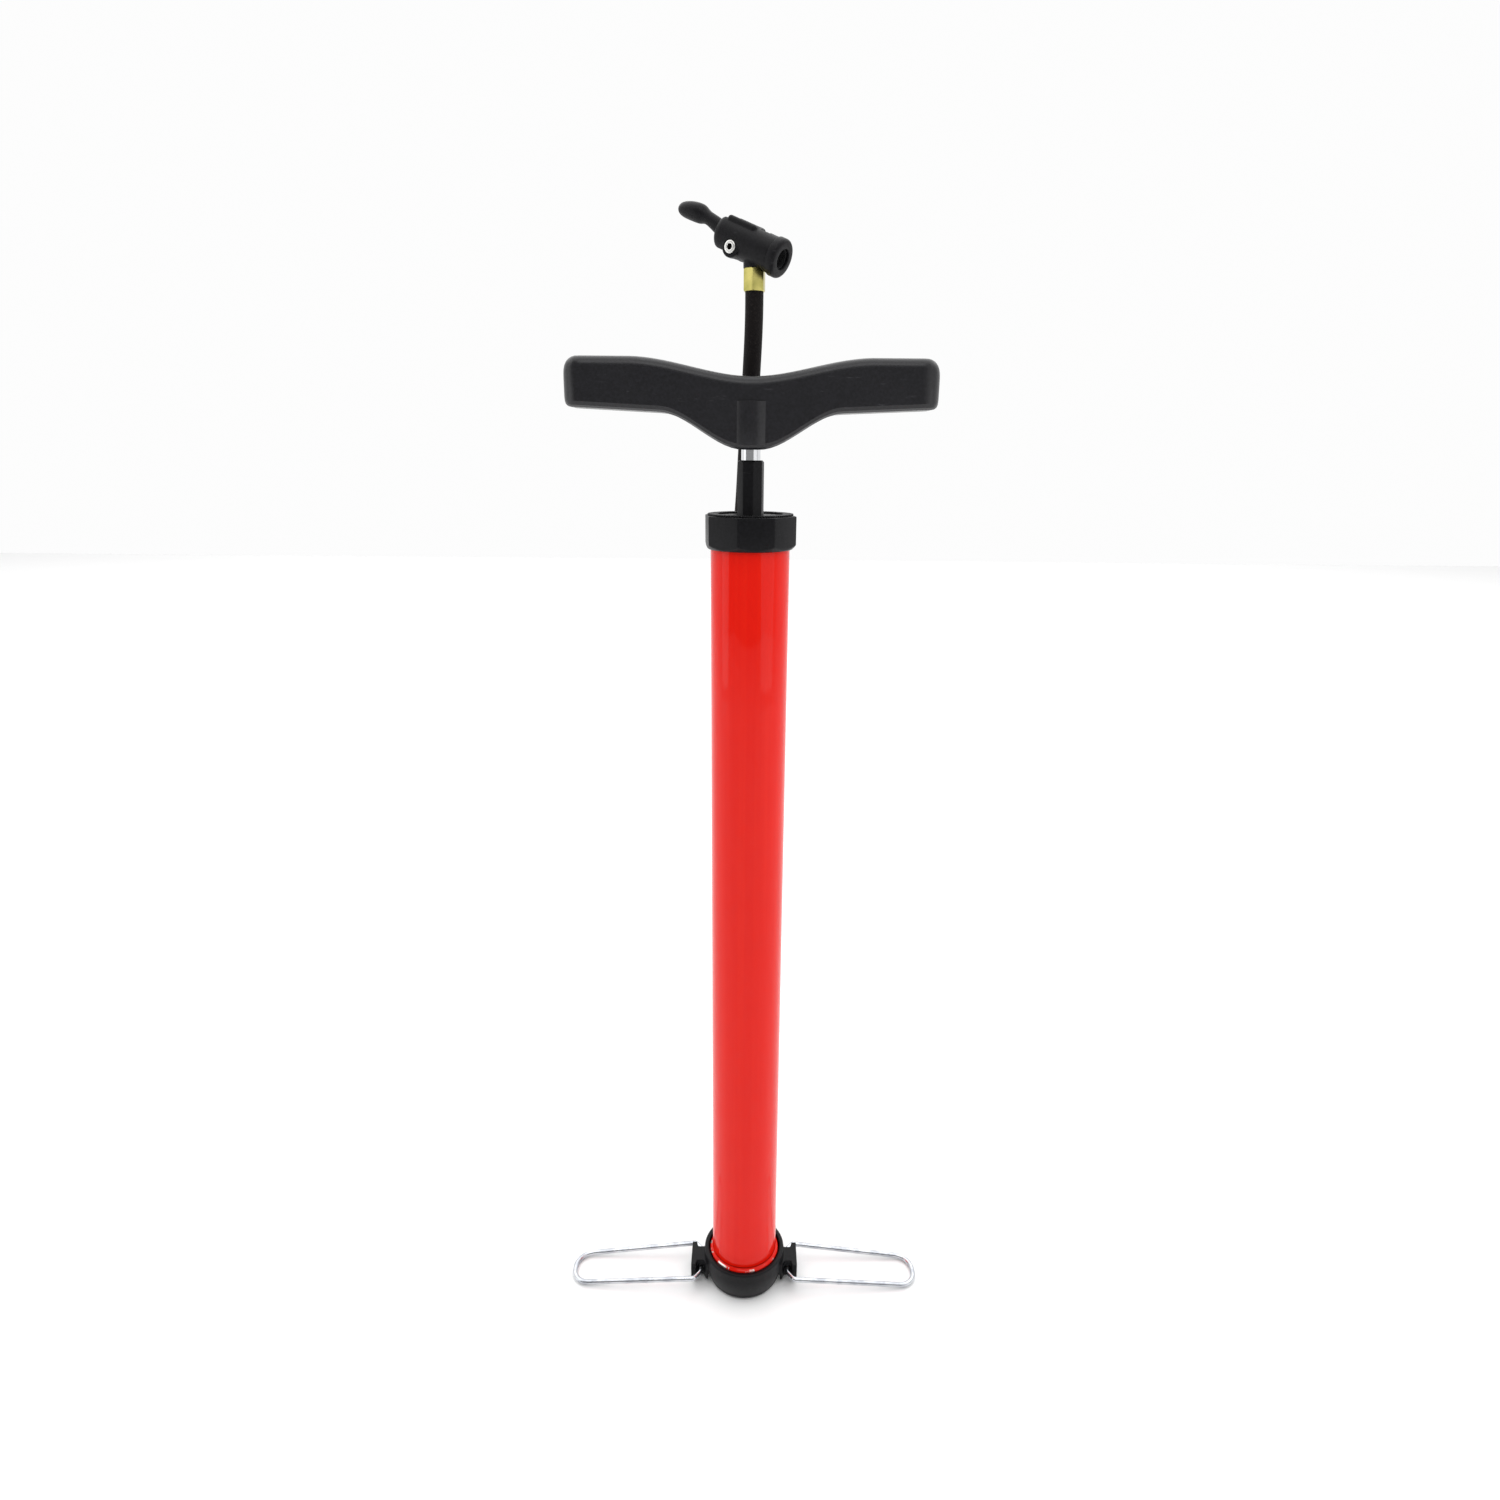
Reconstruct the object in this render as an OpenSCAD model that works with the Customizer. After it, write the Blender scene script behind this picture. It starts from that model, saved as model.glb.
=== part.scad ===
// Bicycle floor pump. A steel barrel stands in a plastic cup with two folding
// wire stirrups for the feet. A piston on a chromed rod slides in the barrel
// and is worked by a winged handle. Air leaves through a ball valve and a hose,
// which stands in a clip behind the cap and ends in a thumb-lock valve head.
// Millimetres, +Z up, front is -Y, origin at the centre of the cup's underside.

/* [Barrel] */
// Outside diameter of the steel barrel
barrel_d = 38; // [32:1:46]
// Wall of the barrel
barrel_wall = 1; // [0.8:0.1:1.5]
// Length of the barrel
barrel_len = 442; // [300:1:535]
// How far the rolled bead near the foot stands out
bead_w = 1.5; // [1:0.1:2]
// Height of the rolled bead
bead_h = 4; // [3:0.5:6]

/* [Cup] */
// Height of the cup's rim above the floor
cup_h = 21; // [18:1:28]
// Thickness of the cup's floor
cup_floor = 6; // [5:0.5:8]
// Wall of the cup beside the bead
cup_wall = 2.7; // [2:0.1:4]
// How much narrower the cup is at its foot, on the radius
cup_taper = 2.5; // [1:0.5:4]
// Radius of the cup's bottom edge
cup_edge = 3.5; // [2:0.5:4]
// Gap between the bead and the cup
bead_gap = 0.8; // [0.4:0.1:1.5]
// Thickness of the rubber ring under the barrel
gasket_t = 1.5; // [1:0.1:2.5]
// Width of the rubber ring under the barrel
gasket_w = 4.4; // [3:0.1:6]

/* [Stirrups] */
// Diameter of the stirrup wire
wire_d = 3; // [2:0.1:4]
// Distance from the hinge line to the outside of the stirrup's tip
stirrup_reach = 79; // [60:1:95]
// Half the stirrup's width beside its hinge, to the middle of the wire
stirrup_half = 13.6; // [12.5:0.1:18]
// Half the stirrup's width at its tip, to the middle of the wire
tip_half = 10.8; // [9:0.1:13]
// Bend radius at the stirrup's tip, to the middle of the wire
tip_bend = 10; // [6:0.5:10.5]
// Bend radius of the wire's other bends
wire_bend = 2.5; // [1.8:0.1:3]
// Distance from the cup's side to the hinge line
hinge_out = 2.5; // [2.3:0.1:5]
// Thickness of the flange at the end of each lug
flange_t = 2.8; // [2:0.1:4]
// Width of the flange, front to back
flange_w = 18; // [14:0.5:19]
// Width of the lug at the hinge, front to back
neck_w = 11; // [8:0.5:12]
// Height of each lug
lug_h = 11; // [8:0.5:13]
// Height of the lugs' underside above the floor
lug_lift = 3; // [2:0.5:5]

/* [Cap and collar] */
// Width of the octagonal cap, corner to corner, beyond the barrel
cap_over = 7; // [6:0.5:10]
// Height of the cap
cap_h = 15.6; // [12:0.1:20]
// Thickness of the cap's top plate
cap_plate = 4.5; // [3:0.5:6]
// Chamfer around the cap's lower edge
cap_chamfer = 2.4; // [1:0.1:3]
// Turn of the cap's corners
cap_turn = -14.7; // [-22:0.1:22]
// Height of the eight-sided guide collar above the cap
collar_h = 25; // [15:1:35]
// Wall of the guide collar between the rod and its flats
collar_wall = 1.3; // [1:0.1:2.5]
// Turn of the guide collar's corners
collar_turn = -35; // [-45:1:0]
// Width of the flange that holds the collar under the cap, beyond the collar
collar_flange_w = 2.6; // [1.5:0.1:5]
// Thickness of that flange
collar_flange_t = 4; // [2:0.5:6]

/* [Piston and rod] */
// Diameter of the piston rod
rod_d = 9; // [8:0.1:9.4]
// Wall of the piston rod, which is a tube
rod_wall = 1; // [0.8:0.1:1.5]
// Height of the piston's lowest point above the cup's floor at rest
piston_rest = 2; // [1:0.5:6]
// Diameter of the piston's stud
stud_d = 6; // [4:0.5:6]
// Thickness of the piston's nut
nut_t = 5; // [3:0.5:6]
// Width of the piston's nut across its flats
nut_w = 10; // [8:0.5:12]
// Height of the cup seal
seal_h = 8.5; // [6:0.5:14]
// Thickness of the cup seal's wall
seal_t = 2; // [1.5:0.1:3]
// Thickness of each piston washer
washer_t = 2; // [1:0.1:3]
// Height of the rubber buffer above the piston
buffer_h = 4; // [3:0.5:10]

/* [Handle] */
// Length of the handle
handle_len = 170; // [140:1:205]
// Thickness of the handle, front to back
handle_t = 24; // [20:0.5:24]
// Height of the handle at its middle
handle_mid_h = 31.5; // [28:0.5:40]
// Height of the grips at the handle's ends
grip_h = 21.5; // [18:0.5:28]
// Rise of the grips' top above the middle of the handle
grip_rise = 8; // [4:0.5:14]
// Rise of the handle's underside from the foot of the grips to their ends
grip_drop = 2; // [0:0.1:3]
// Gap between the collar and the handle at rest
handle_gap = 4.7; // [2:0.1:10]
// Radius of the grips' upper corners
grip_r_top = 7; // [4:0.5:9]
// Radius of the grips' lower corners
grip_r_low = 3.5; // [2:0.5:6]
// Radius of the grips' ends, seen from above
grip_r_end = 8; // [4:0.5:9.5]
// Width of the rounded rib at the front of the handle's middle
rib_w = 11.7; // [8:0.1:16]
// How far that rib stands out
rib_out = 2; // [1:0.1:3]

/* [Outlet] */
// Radius of the outlet boss
boss_r = 6.5; // [6:0.1:8]
// Length of the outlet boss from the valve seat
boss_len = 16; // [12:0.5:16.5]
// Diameter of the valve's ball
ball_d = 5; // [4:0.1:6]
// How far the ball lifts off its seat
ball_lift = 1.5; // [1:0.1:2]
// Width of the outlet nipple across its flats
nipple_w = 11; // [9:0.5:12]

/* [Hose and head] */
// Outside diameter of the hose
hose_d = 8.7; // [6:0.1:10]
// Width of the brass hose nut across its flats
hose_nut_w = 9.4; // [9:0.1:12]
// Height of the brass hose nut
hose_nut_h = 9.9; // [8:0.1:14]
// Turn of the brass nut's corners
hose_nut_turn = 11; // [0:1:59]
// Diameter of the valve head's body
head_d = 16; // [15:0.5:19]
// Length of the head in front of the hose
head_front = 12; // [10:0.5:16]
// Length of the head behind the hose
head_back = 20; // [18:0.5:24]
// Length of the collar on the head's mouth
mouth_len = 4.5; // [3:0.5:8]
// Diameter of the tyre valve that the mouth takes
valve_d = 8; // [5.5:0.1:8.5]
// Dip of the head's mouth below level
head_dip = 23.75; // [0:0.25:40]
// Turn of the head's mouth towards the front
head_turn = -29.7; // [-45:0.1:45]
// Width of the lever's slot
slot_w = 7.8; // [6:0.1:9]
// Diameter of the lever's pin
pin_d = 3; // [2:0.1:4]
// Radius of the lever's hub
hub_r = 4.4; // [4:0.1:5]
// Length of the lever from its pin to its tip
lever_len = 38.5; // [30:0.5:46]

/* [Hidden] */
$fn = 96;

// Clearances
run_gap = 0.05;   // a shaft or pin that turns or slides in its hole
seat_gap = 0.1;   // a fixed piece in its seat
clear = 0.2;      // loose pieces in one body
over = 1;         // how far a cut runs past a face

// Places that the pieces share
barrel_r = barrel_d / 2;
bore_r = barrel_r - barrel_wall;
foot_z = cup_floor + gasket_t;
barrel_top = foot_z + barrel_len;
bead_mid = cup_h - 1;
seat_r = barrel_r + bead_w + bead_gap;
cup_r = seat_r + cup_wall;
wire_r = wire_d / 2;
hinge_x = cup_r + hinge_out;
hinge_z = lug_lift + lug_h / 2;
notch_r = wire_r + 0.4;
flange_x = hinge_x + notch_r + 0.8;
cap_top = barrel_top + cap_plate;
cap_r = barrel_r + cap_over / 2;
collar_r = (rod_d / 2 + run_gap + collar_wall) / cos(22.5);
collar_top = cap_top + collar_h;
rod_r = rod_d / 2;
stud_r = stud_d / 2;

// Piston, from the bottom up
stud_low = cup_floor + piston_rest;
nut_low = stud_low + 1.5;
washer_low = nut_low + nut_t;
seal_top = washer_low + washer_t + 2.5;
rod_low = seal_top + washer_t;

// Handle
handle_low = collar_top + handle_gap;
handle_top = handle_low + handle_mid_h;
socket_top = handle_top - 3;
handle_nut_w = 13;
handle_nut_t = 6;
handle_nut_low = handle_low + 16.5;

// Outlet: its axis leans back 45 degrees from the valve seat
outlet_y = cup_r;
outlet_z = 8;
passage_r = 1.5;
port_y = bore_r - gasket_w - passage_r;
port_z = 3.5;
chamber_r = ball_d / 2 + 1.4;
ball_at = sqrt(pow(ball_d / 2, 2) - pow(passage_r, 2)) + 0.02;
nipple_in = ball_at + ball_d / 2 + ball_lift + 0.5;
hex_len = 3.8;
spigot_r = 2.5;
spigot_len = 11;
ferrule_len = 12;
ferrule_wall = 1;

// The hose's route, from the outlet to the valve head
hose_r = hose_d / 2;
HOSE = [
    [0, 38, 22], [0, 42, 26], [0, 46, 30], [0, 50.5, 35.3], [0, 54.2, 41.3],
    [0, 57, 48], [0, 58.6, 55], [-0.1, 59.2, 62], [-0.4, 59.2, 76],
    [-1, 58, 96], [-2, 56, 122], [-3, 53, 155], [-4, 49.3, 195],
    [-5, 45.2, 235], [-5.7, 41.2, 275], [-6, 37.4, 315], [-6, 34, 355],
    [-5.6, 31.4, 393], [-4.9, 30.2, 425], [-4.2, 30, 446], [-3.1, 30, 463],
    [-2.2, 30, 481], [-1.1, 30, 502], [0.1, 30, 524], [0.7, 30, 538],
    [0.9, 30, 548], [0.9, 30, 555]
];
clip_at = HOSE[19];
hose_end = HOSE[len(HOSE) - 1];

// Valve head, in its own frame: +X leaves the mouth, the origin is on its axis
head_r = head_d / 2;
nut_top = hose_end[2] + hose_nut_h;
head_z = nut_top + 9.3;
chamber_in = -3;
cavity_r = valve_d / 2 + 2.1;
mouth_r = head_r + 0.6;
lip = 1.4;
grommet_from = 5.8;
pin_x = -8;
pin_z = -4;
hub_boss_r = hub_r + 0.2;
hub_boss_out = 7.6;
rivet_r = 2.9;
plunger_front = 3.5;

// ---- Small helpers ----

function unit(v) = v / norm(v);
function smooth(t) = let (c = max(0, min(1, t))) c * c * (3 - 2 * c);
function arc(c, r, from, to, n = 8) =
    [for (i = [0:n]) let (a = from + (to - from) * i / n) [c[0] + r * cos(a), c[1] + r * sin(a)]];
function flat_to_corner(w) = w / 2 / cos(30);

module tube(r_out, r_in, h) {
    difference() {
        cylinder(h = h, r = r_out);
        translate([0, 0, -over]) cylinder(h = h + 2 * over, r = r_in);
    }
}

// A hexagonal nut with a round hole
module hex_nut(w, h, hole_r) {
    difference() {
        cylinder(h = h, r = flat_to_corner(w), $fn = 6);
        translate([0, 0, -over]) cylinder(h = h + 2 * over, r = hole_r);
    }
}

module both_sides() {
    children();
    mirror([1, 0, 0]) children();
}

// ---- Barrel and cup ----

// Half of the bead's outline, as a smooth swelling of the barrel's wall
function bead_outline(n = 12) = [
    for (i = [0:n]) let (t = i / n)
        [barrel_r + bead_w * (1 - cos(360 * t)) / 2, bead_mid + bead_h * (0.5 - t)]
];

module barrel() {
    color("#d8241b")
    rotate_extrude() polygon(concat(
        [[bore_r, foot_z], [bore_r, barrel_top], [barrel_r, barrel_top]],
        bead_outline(),
        [[barrel_r, foot_z]]
    ));
}

module barrel_gasket() {
    color("#303030")
    translate([0, 0, cup_floor])
        tube(barrel_r - seat_gap, barrel_r - gasket_w, gasket_t);
}

module cup_body() {
    foot_r = cup_r - cup_taper;
    rotate_extrude() polygon(concat(
        [[0, 0]],
        arc([foot_r - cup_edge, cup_edge], cup_edge, -90, 0),
        [[cup_r, cup_h * 0.62], [cup_r, cup_h - 0.8], [cup_r - 0.8, cup_h], [0, cup_h]]
    ));
}

// One lug, seen from above as half a spool: a neck at the hinge, then a flange
module lug() {
    half = flange_w / 2;
    neck = neck_w / 2;
    translate([0, 0, lug_lift]) linear_extrude(height = lug_h) polygon([
        [cup_r - 6, half], [cup_r - 1.2, half], [hinge_x - notch_r, neck],
        [hinge_x + notch_r, neck], [flange_x, half], [flange_x + flange_t, half],
        [flange_x + flange_t, -half], [flange_x, -half], [hinge_x + notch_r, -neck],
        [hinge_x - notch_r, -neck], [cup_r - 1.2, -half], [cup_r - 6, -half]
    ]);
}

module at_outlet() {
    translate([0, outlet_y, outlet_z]) rotate([-45, 0, 0]) children();
}

module foot_base() {
    color("#1d1d20")
    difference() {
        union() {
            cup_body();
            both_sides() lug();
            at_outlet() translate([0, 0, -2]) cylinder(h = boss_len + 2, r = boss_r);
        }
        translate([0, 0, cup_floor]) cylinder(h = cup_h, r = barrel_r + seat_gap);
        translate([0, 0, bead_mid - bead_h / 2 - 1]) cylinder(h = cup_h, r = seat_r);
        both_sides() translate([hinge_x, 0, hinge_z]) rotate([90, 0, 0])
            cylinder(h = neck_w + 2 * over, r = wire_r + run_gap, center = true);
        at_outlet() cylinder(h = boss_len + over, r = chamber_r);
        at_outlet() translate([0, 0, -(outlet_z - port_z) * sqrt(2)])
            cylinder(h = 20, r = passage_r);
        translate([0, port_y, port_z]) cylinder(h = cup_floor, r = passage_r);
        translate([0, port_y, port_z]) rotate([-90, 0, 0])
            cylinder(h = outlet_y - (outlet_z - port_z) - port_y, r = passage_r);
        translate([-cup_r, 0, -20]) cube([2 * cup_r, 2 * cup_r, 20]);
    }
}

// ---- Outlet valve and hose tail ----

module outlet_nipple() {
    color("#b8a24a")
    at_outlet() difference() {
        union() {
            translate([0, 0, nipple_in])
                cylinder(h = boss_len - nipple_in, r = chamber_r - seat_gap);
            translate([0, 0, boss_len])
                cylinder(h = hex_len, r = flat_to_corner(nipple_w), $fn = 6);
            translate([0, 0, boss_len + hex_len]) cylinder(h = spigot_len, r = spigot_r);
        }
        cylinder(h = boss_len + hex_len + spigot_len + over, r = 1.2);
    }
}

module check_ball() {
    color("#c9ccd0")
    at_outlet() translate([0, 0, ball_at]) sphere(d = ball_d);
}

module base_ferrule() {
    color("#c4c6c9")
    at_outlet() translate([0, 0, boss_len + hex_len + seat_gap])
        tube(hose_r + ferrule_wall, hose_r + seat_gap, ferrule_len);
}

// A round tube along a list of points, one ring at each point. No part of the
// route runs along the direction `level`.
function ring_at(p, i, r, sides, level) =
    let (along = unit(p[min(i + 1, len(p) - 1)] - p[max(i - 1, 0)]),
         side = unit(cross(level, along)), up = cross(along, side))
    [for (k = [0:sides - 1]) let (a = 360 * k / sides) p[i] + r * (side * cos(a) + up * sin(a))];

module tube_along(p, r, sides, level) {
    last = (len(p) - 1) * sides;
    polyhedron(
        points = [for (i = [0:len(p) - 1]) each ring_at(p, i, r, sides, level)],
        faces = concat(
            [[for (k = [0:sides - 1]) k]],
            [for (i = [0:len(p) - 2], k = [0:sides - 1])
                let (a = i * sides, m = (k + 1) % sides) [a + k, a + sides + k, a + sides + m, a + m]],
            [[for (k = [sides - 1:-1:0]) last + k]]
        )
    );
}

module hose() {
    color("#232325")
    tube_along(HOSE, hose_r, 12, [1, 0, 0]);
}

// ---- Stirrups ----

// The corners of half a stirrup lying flat, from its hinge to its tip
wire_end = 1.5;
pin_len = flange_w / 2 - 1 - wire_end;
function stirrup_corners() = [
    [0, wire_end + pin_len - 1], [0, flange_w / 2], [4, stirrup_half],
    [stirrup_reach - wire_r, tip_half], [stirrup_reach - wire_r, 0]
];

// The round bend where a flat route turns at a corner
function bend_at(before, corner, after, r, n) =
    let (a = unit(corner - before), b = unit(after - corner), turn = acos(a * b),
         side = sign(a[0] * b[1] - a[1] * b[0]), start = corner - a * r * tan(turn / 2),
         centre = start + side * r * [-a[1], a[0]],
         from = atan2(start[1] - centre[1], start[0] - centre[0]))
    arc(centre, r, from, from + side * turn, n);

function half_stirrup() = let (p = stirrup_corners()) concat(
    [p[0]],
    bend_at(p[0], p[1], p[2], wire_bend, 5),
    bend_at(p[1], p[2], p[3], wire_bend, 5),
    bend_at(p[2], p[3], p[4], tip_bend, 10)
);

module right_stirrup() {
    slope = asin((hinge_z - wire_r) / (stirrup_reach - wire_r));
    half = half_stirrup();
    route = concat(
        [for (q = half) [q[0], q[1], 0]],
        [for (i = [len(half) - 1:-1:0]) [half[i][0], -half[i][1], 0]]
    );
    color("#c9ccd0")
    translate([hinge_x, 0, hinge_z]) rotate([0, slope, 0]) {
        tube_along(route, wire_r - 0.02, 12, [0, 0, 1]);
        for (side = [-1, 1]) translate([0, side * (wire_end + pin_len / 2), 0])
            rotate([90, 0, 0]) cylinder(h = pin_len, r = wire_r, center = true);
    }
}

module left_stirrup() {
    mirror([1, 0, 0]) right_stirrup();
}

// ---- Cap, clip and collar ----

module hose_clip() {
    clip_h = 9;
    clip_r = hose_r + 2;
    clip_z = cap_top - (cap_h + clip_h) / 2;
    difference() {
        union() {
            translate([clip_at[0], clip_at[1], clip_z]) cylinder(h = clip_h, r = clip_r);
            translate([clip_at[0] - 3, cap_r - 5, clip_z])
                cube([6, clip_at[1] - cap_r + 5, clip_h]);
        }
        translate([clip_at[0], clip_at[1], clip_z - over])
            cylinder(h = clip_h + 2 * over, r = hose_r + clear + 0.15);
        translate([clip_at[0] - 3.2, clip_at[1], clip_z - over])
            cube([6.4, clip_r + over, clip_h + 2 * over]);
    }
}

module top_cap() {
    cap_low = cap_top - cap_h;
    color("#1d1d20")
    difference() {
        union() {
            intersection() {
                translate([0, 0, cap_low]) rotate([0, 0, cap_turn])
                    cylinder(h = cap_h, r = cap_r, $fn = 8);
                translate([0, 0, cap_low]) rotate_extrude() polygon([
                    [0, 0], [cap_r - cap_chamfer, 0], [cap_r + over, cap_chamfer + over],
                    [cap_r + over, cap_h - over - 0.5], [cap_r - 0.5, cap_h], [0, cap_h]
                ]);
            }
            hose_clip();
        }
        translate([0, 0, cap_low - over])
            cylinder(h = cap_h - cap_plate + over, r = barrel_r + seat_gap);
        translate([0, 0, barrel_top - over])
            cylinder(h = cap_plate + 2 * over, r = collar_r + seat_gap);
    }
}

module guide_collar() {
    neck_h = collar_top - barrel_top - over / 2;
    color("#1d1d20")
    difference() {
        union() {
            translate([0, 0, barrel_top - collar_flange_t])
                cylinder(h = collar_flange_t, r = collar_r + collar_flange_w);
            translate([0, 0, barrel_top - over])
                cylinder(h = 2 * over, r = collar_r * cos(22.5) - 0.2);
            translate([0, 0, barrel_top + over / 2]) intersection() {
                rotate([0, 0, collar_turn]) cylinder(h = neck_h, r = collar_r, $fn = 8);
                rotate_extrude() polygon([
                    [0, 0], [collar_r + over, 0], [collar_r + over, neck_h - 1 - over],
                    [collar_r - 0.9, neck_h + 0.9 - over], [0, neck_h + 0.9 - over]
                ]);
            }
        }
        translate([0, 0, barrel_top - collar_flange_t - over])
            cylinder(h = collar_top, r = rod_r + run_gap);
    }
}

// ---- Piston and rod ----

module piston_rod() {
    color("#d4d6d9")
    translate([0, 0, rod_low]) tube(rod_r, rod_r - rod_wall, socket_top - rod_low);
}

module rod_stud() {
    grip = 15;
    color("#9a9da1") {
        translate([0, 0, stud_low]) cylinder(h = rod_low - stud_low, r = stud_r);
        translate([0, 0, rod_low]) cylinder(h = grip, r = rod_r - rod_wall - run_gap);
    }
}

module rod_buffer() {
    color("#303030")
    translate([0, 0, rod_low]) tube(rod_r + 5, rod_r + seat_gap, buffer_h);
}

module piston_top_washer() {
    color("#9a9da1")
    translate([0, 0, seal_top]) tube(bore_r - 1.5, stud_r + run_gap, washer_t);
}

module piston_cup_seal() {
    lip_r = bore_r - 0.1;
    low = seal_top - seal_h;
    color("#5b4636")
    difference() {
        rotate_extrude() polygon([
            [0, low], [lip_r - 0.6, low], [lip_r, low + 1.5], [lip_r, seal_top - 2],
            [lip_r - 0.8, seal_top], [0, seal_top]
        ]);
        translate([0, 0, low - over])
            cylinder(h = seal_h - 2.5 + over, r = lip_r - seal_t);
        translate([0, 0, low]) cylinder(h = seal_h + over, r = stud_r + run_gap);
    }
}

module piston_bottom_washer() {
    color("#9a9da1")
    translate([0, 0, washer_low]) tube(bore_r - seal_t - 2, stud_r + run_gap, washer_t);
}

module piston_nut() {
    color("#b4b7ba")
    translate([0, 0, nut_low]) hex_nut(nut_w, nut_t, stud_r + run_gap);
}

// ---- Handle ----

// Height of the handle's upper and lower edge at a distance x from its middle
function upper(x) = handle_top + grip_rise * smooth(abs(x) / (handle_len * 0.325));
function lower(x) = let (d = abs(x), foot = handle_len * 0.247)
    handle_low + (handle_mid_h + grip_rise - grip_h - grip_drop) * smooth((d - 4) / (foot - 4))
    + grip_drop * max(0, d - foot) / (handle_len / 2 - foot);

// The handle seen from the front, with rounded corners at both ends
function handle_outline() =
    let (e = handle_len / 2, n = 26,
         right = concat(
            [for (i = [0:n]) let (x = (e - grip_r_low) * i / n) [x, lower(x)]],
            arc([e - grip_r_low, lower(e) + grip_r_low], grip_r_low, -80, 0, 5),
            arc([e - grip_r_top, upper(e) - grip_r_top], grip_r_top, 0, 80, 6),
            [for (i = [n:-1:1]) let (x = (e - grip_r_top) * i / n) [x, upper(x)]]))
    concat(right, [for (i = [len(right) - 1:-1:1]) [-right[i][0], right[i][1]]]);

// The handle seen from above
function handle_plan() =
    let (e = handle_len / 2, h = handle_t / 2, r = grip_r_end)
    concat(arc([e - r, -h + r], r, -90, 0, 6), arc([e - r, h - r], r, 0, 90, 6),
           arc([-e + r, h - r], r, 90, 180, 6), arc([-e + r, -h + r], r, 180, 270, 6));

module handle() {
    rib_r = (pow(rib_w / 2, 2) + pow(rib_out, 2)) / (2 * rib_out);
    color("#1b1b1e")
    difference() {
        union() {
            intersection() {
                rotate([90, 0, 0])
                    linear_extrude(height = handle_t, center = true) polygon(handle_outline());
                translate([0, 0, handle_low - 5])
                    linear_extrude(height = handle_mid_h + grip_rise + 10) polygon(handle_plan());
            }
            intersection() {
                translate([0, -handle_t / 2 - rib_out + rib_r, handle_low + 2])
                    cylinder(h = 18.5, r = rib_r);
                translate([-rib_w / 2, -handle_t, handle_low])
                    cube([rib_w, handle_t, handle_mid_h]);
            }
        }
        translate([0, 0, handle_low - over])
            cylinder(h = socket_top - handle_low + over + clear, r = rod_r + run_gap);
        translate([0, 0, handle_nut_low])
            cylinder(h = handle_nut_t + clear, r = flat_to_corner(handle_nut_w) + seat_gap);
    }
}

module handle_nut() {
    color("#b4b7ba")
    translate([0, 0, handle_nut_low]) hex_nut(handle_nut_w, handle_nut_t, rod_r + run_gap);
}

// ---- Valve head ----

module hose_nut() {
    color("#b5a136")
    translate(hose_end) rotate([0, 0, hose_nut_turn])
        cylinder(h = hose_nut_h, r = flat_to_corner(hose_nut_w), $fn = 6);
}

module at_head() {
    translate([hose_end[0], hose_end[1], head_z]) rotate([0, head_dip, head_turn]) children();
}

// A solid disc or rod along the head's axis, from x to x + length
module along_head(x, length, r) {
    translate([x, 0, 0]) rotate([0, 90, 0]) cylinder(h = length, r = r);
}

module across_head(x, z, half, r) {
    translate([x, 0, z]) rotate([90, 0, 0]) cylinder(h = 2 * half, r = r, center = true);
}

module chuck_body() {
    color("#1d1d20")
    difference() {
        union() {
            at_head() intersection() {
                along_head(-head_back, head_back + head_front, head_r);
                across_head(-head_back + 13, 0, head_r + over, 30);
            }
            at_head() across_head(pin_x, pin_z, hub_boss_out, hub_boss_r);
            translate([hose_end[0], hose_end[1], nut_top])
                cylinder(h = head_z - nut_top, r = hose_nut_w / 2 + 0.6);
        }
        at_head() translate([-head_back - over, -slot_w / 2, -2 * head_r])
            cube([head_back + over + chamber_in, slot_w, 4 * head_r]);
        at_head() along_head(chamber_in - over, head_front - chamber_in + 2 * over, cavity_r);
        at_head() across_head(pin_x, pin_z, head_r + over, pin_d / 2 + seat_gap);
        at_head() translate([1, -2, head_r - 1.6]) cube([5, 4, 4]);
        at_head() for (side = [-1, 1])
            translate([pin_x, side * (hub_boss_out + head_r / 2), pin_z]) rotate([90, 0, 0])
                cylinder(h = head_r, r = rivet_r + 0.4, center = true);
        translate([hose_end[0], hose_end[1], nut_top - over])
            cylinder(h = head_z - nut_top, r = passage_r);
        translate([hose_end[0], hose_end[1], nut_top - hose_nut_h])
            cylinder(h = hose_nut_h, r = flat_to_corner(hose_nut_w) + clear);
    }
}

module chuck_collar() {
    length = mouth_len;
    color("#232326")
    at_head() difference() {
        translate([head_front, 0, 0]) rotate([0, 90, 0]) rotate_extrude() polygon([
            [0, 0], [mouth_r, 0], [mouth_r, length - 1.5], [mouth_r - 1.5, length], [0, length]
        ]);
        along_head(head_front - over, length - lip + over, cavity_r);
        along_head(head_front, length + over, valve_d / 2 + 0.6);
    }
}

module chuck_grommet() {
    color("#3a3a3c")
    at_head() difference() {
        along_head(grommet_from, head_front + mouth_len - lip - grommet_from - seat_gap,
                   cavity_r - seat_gap);
        along_head(grommet_from - over, head_front + mouth_len, valve_d / 2);
    }
}

module chuck_plunger() {
    color("#d8d8d4")
    at_head() {
        along_head(chamber_in + 0.1, plunger_front - chamber_in - 0.1, cavity_r - clear);
        along_head(plunger_front - over, over + grommet_from - plunger_front - clear, 1);
    }
}

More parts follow.
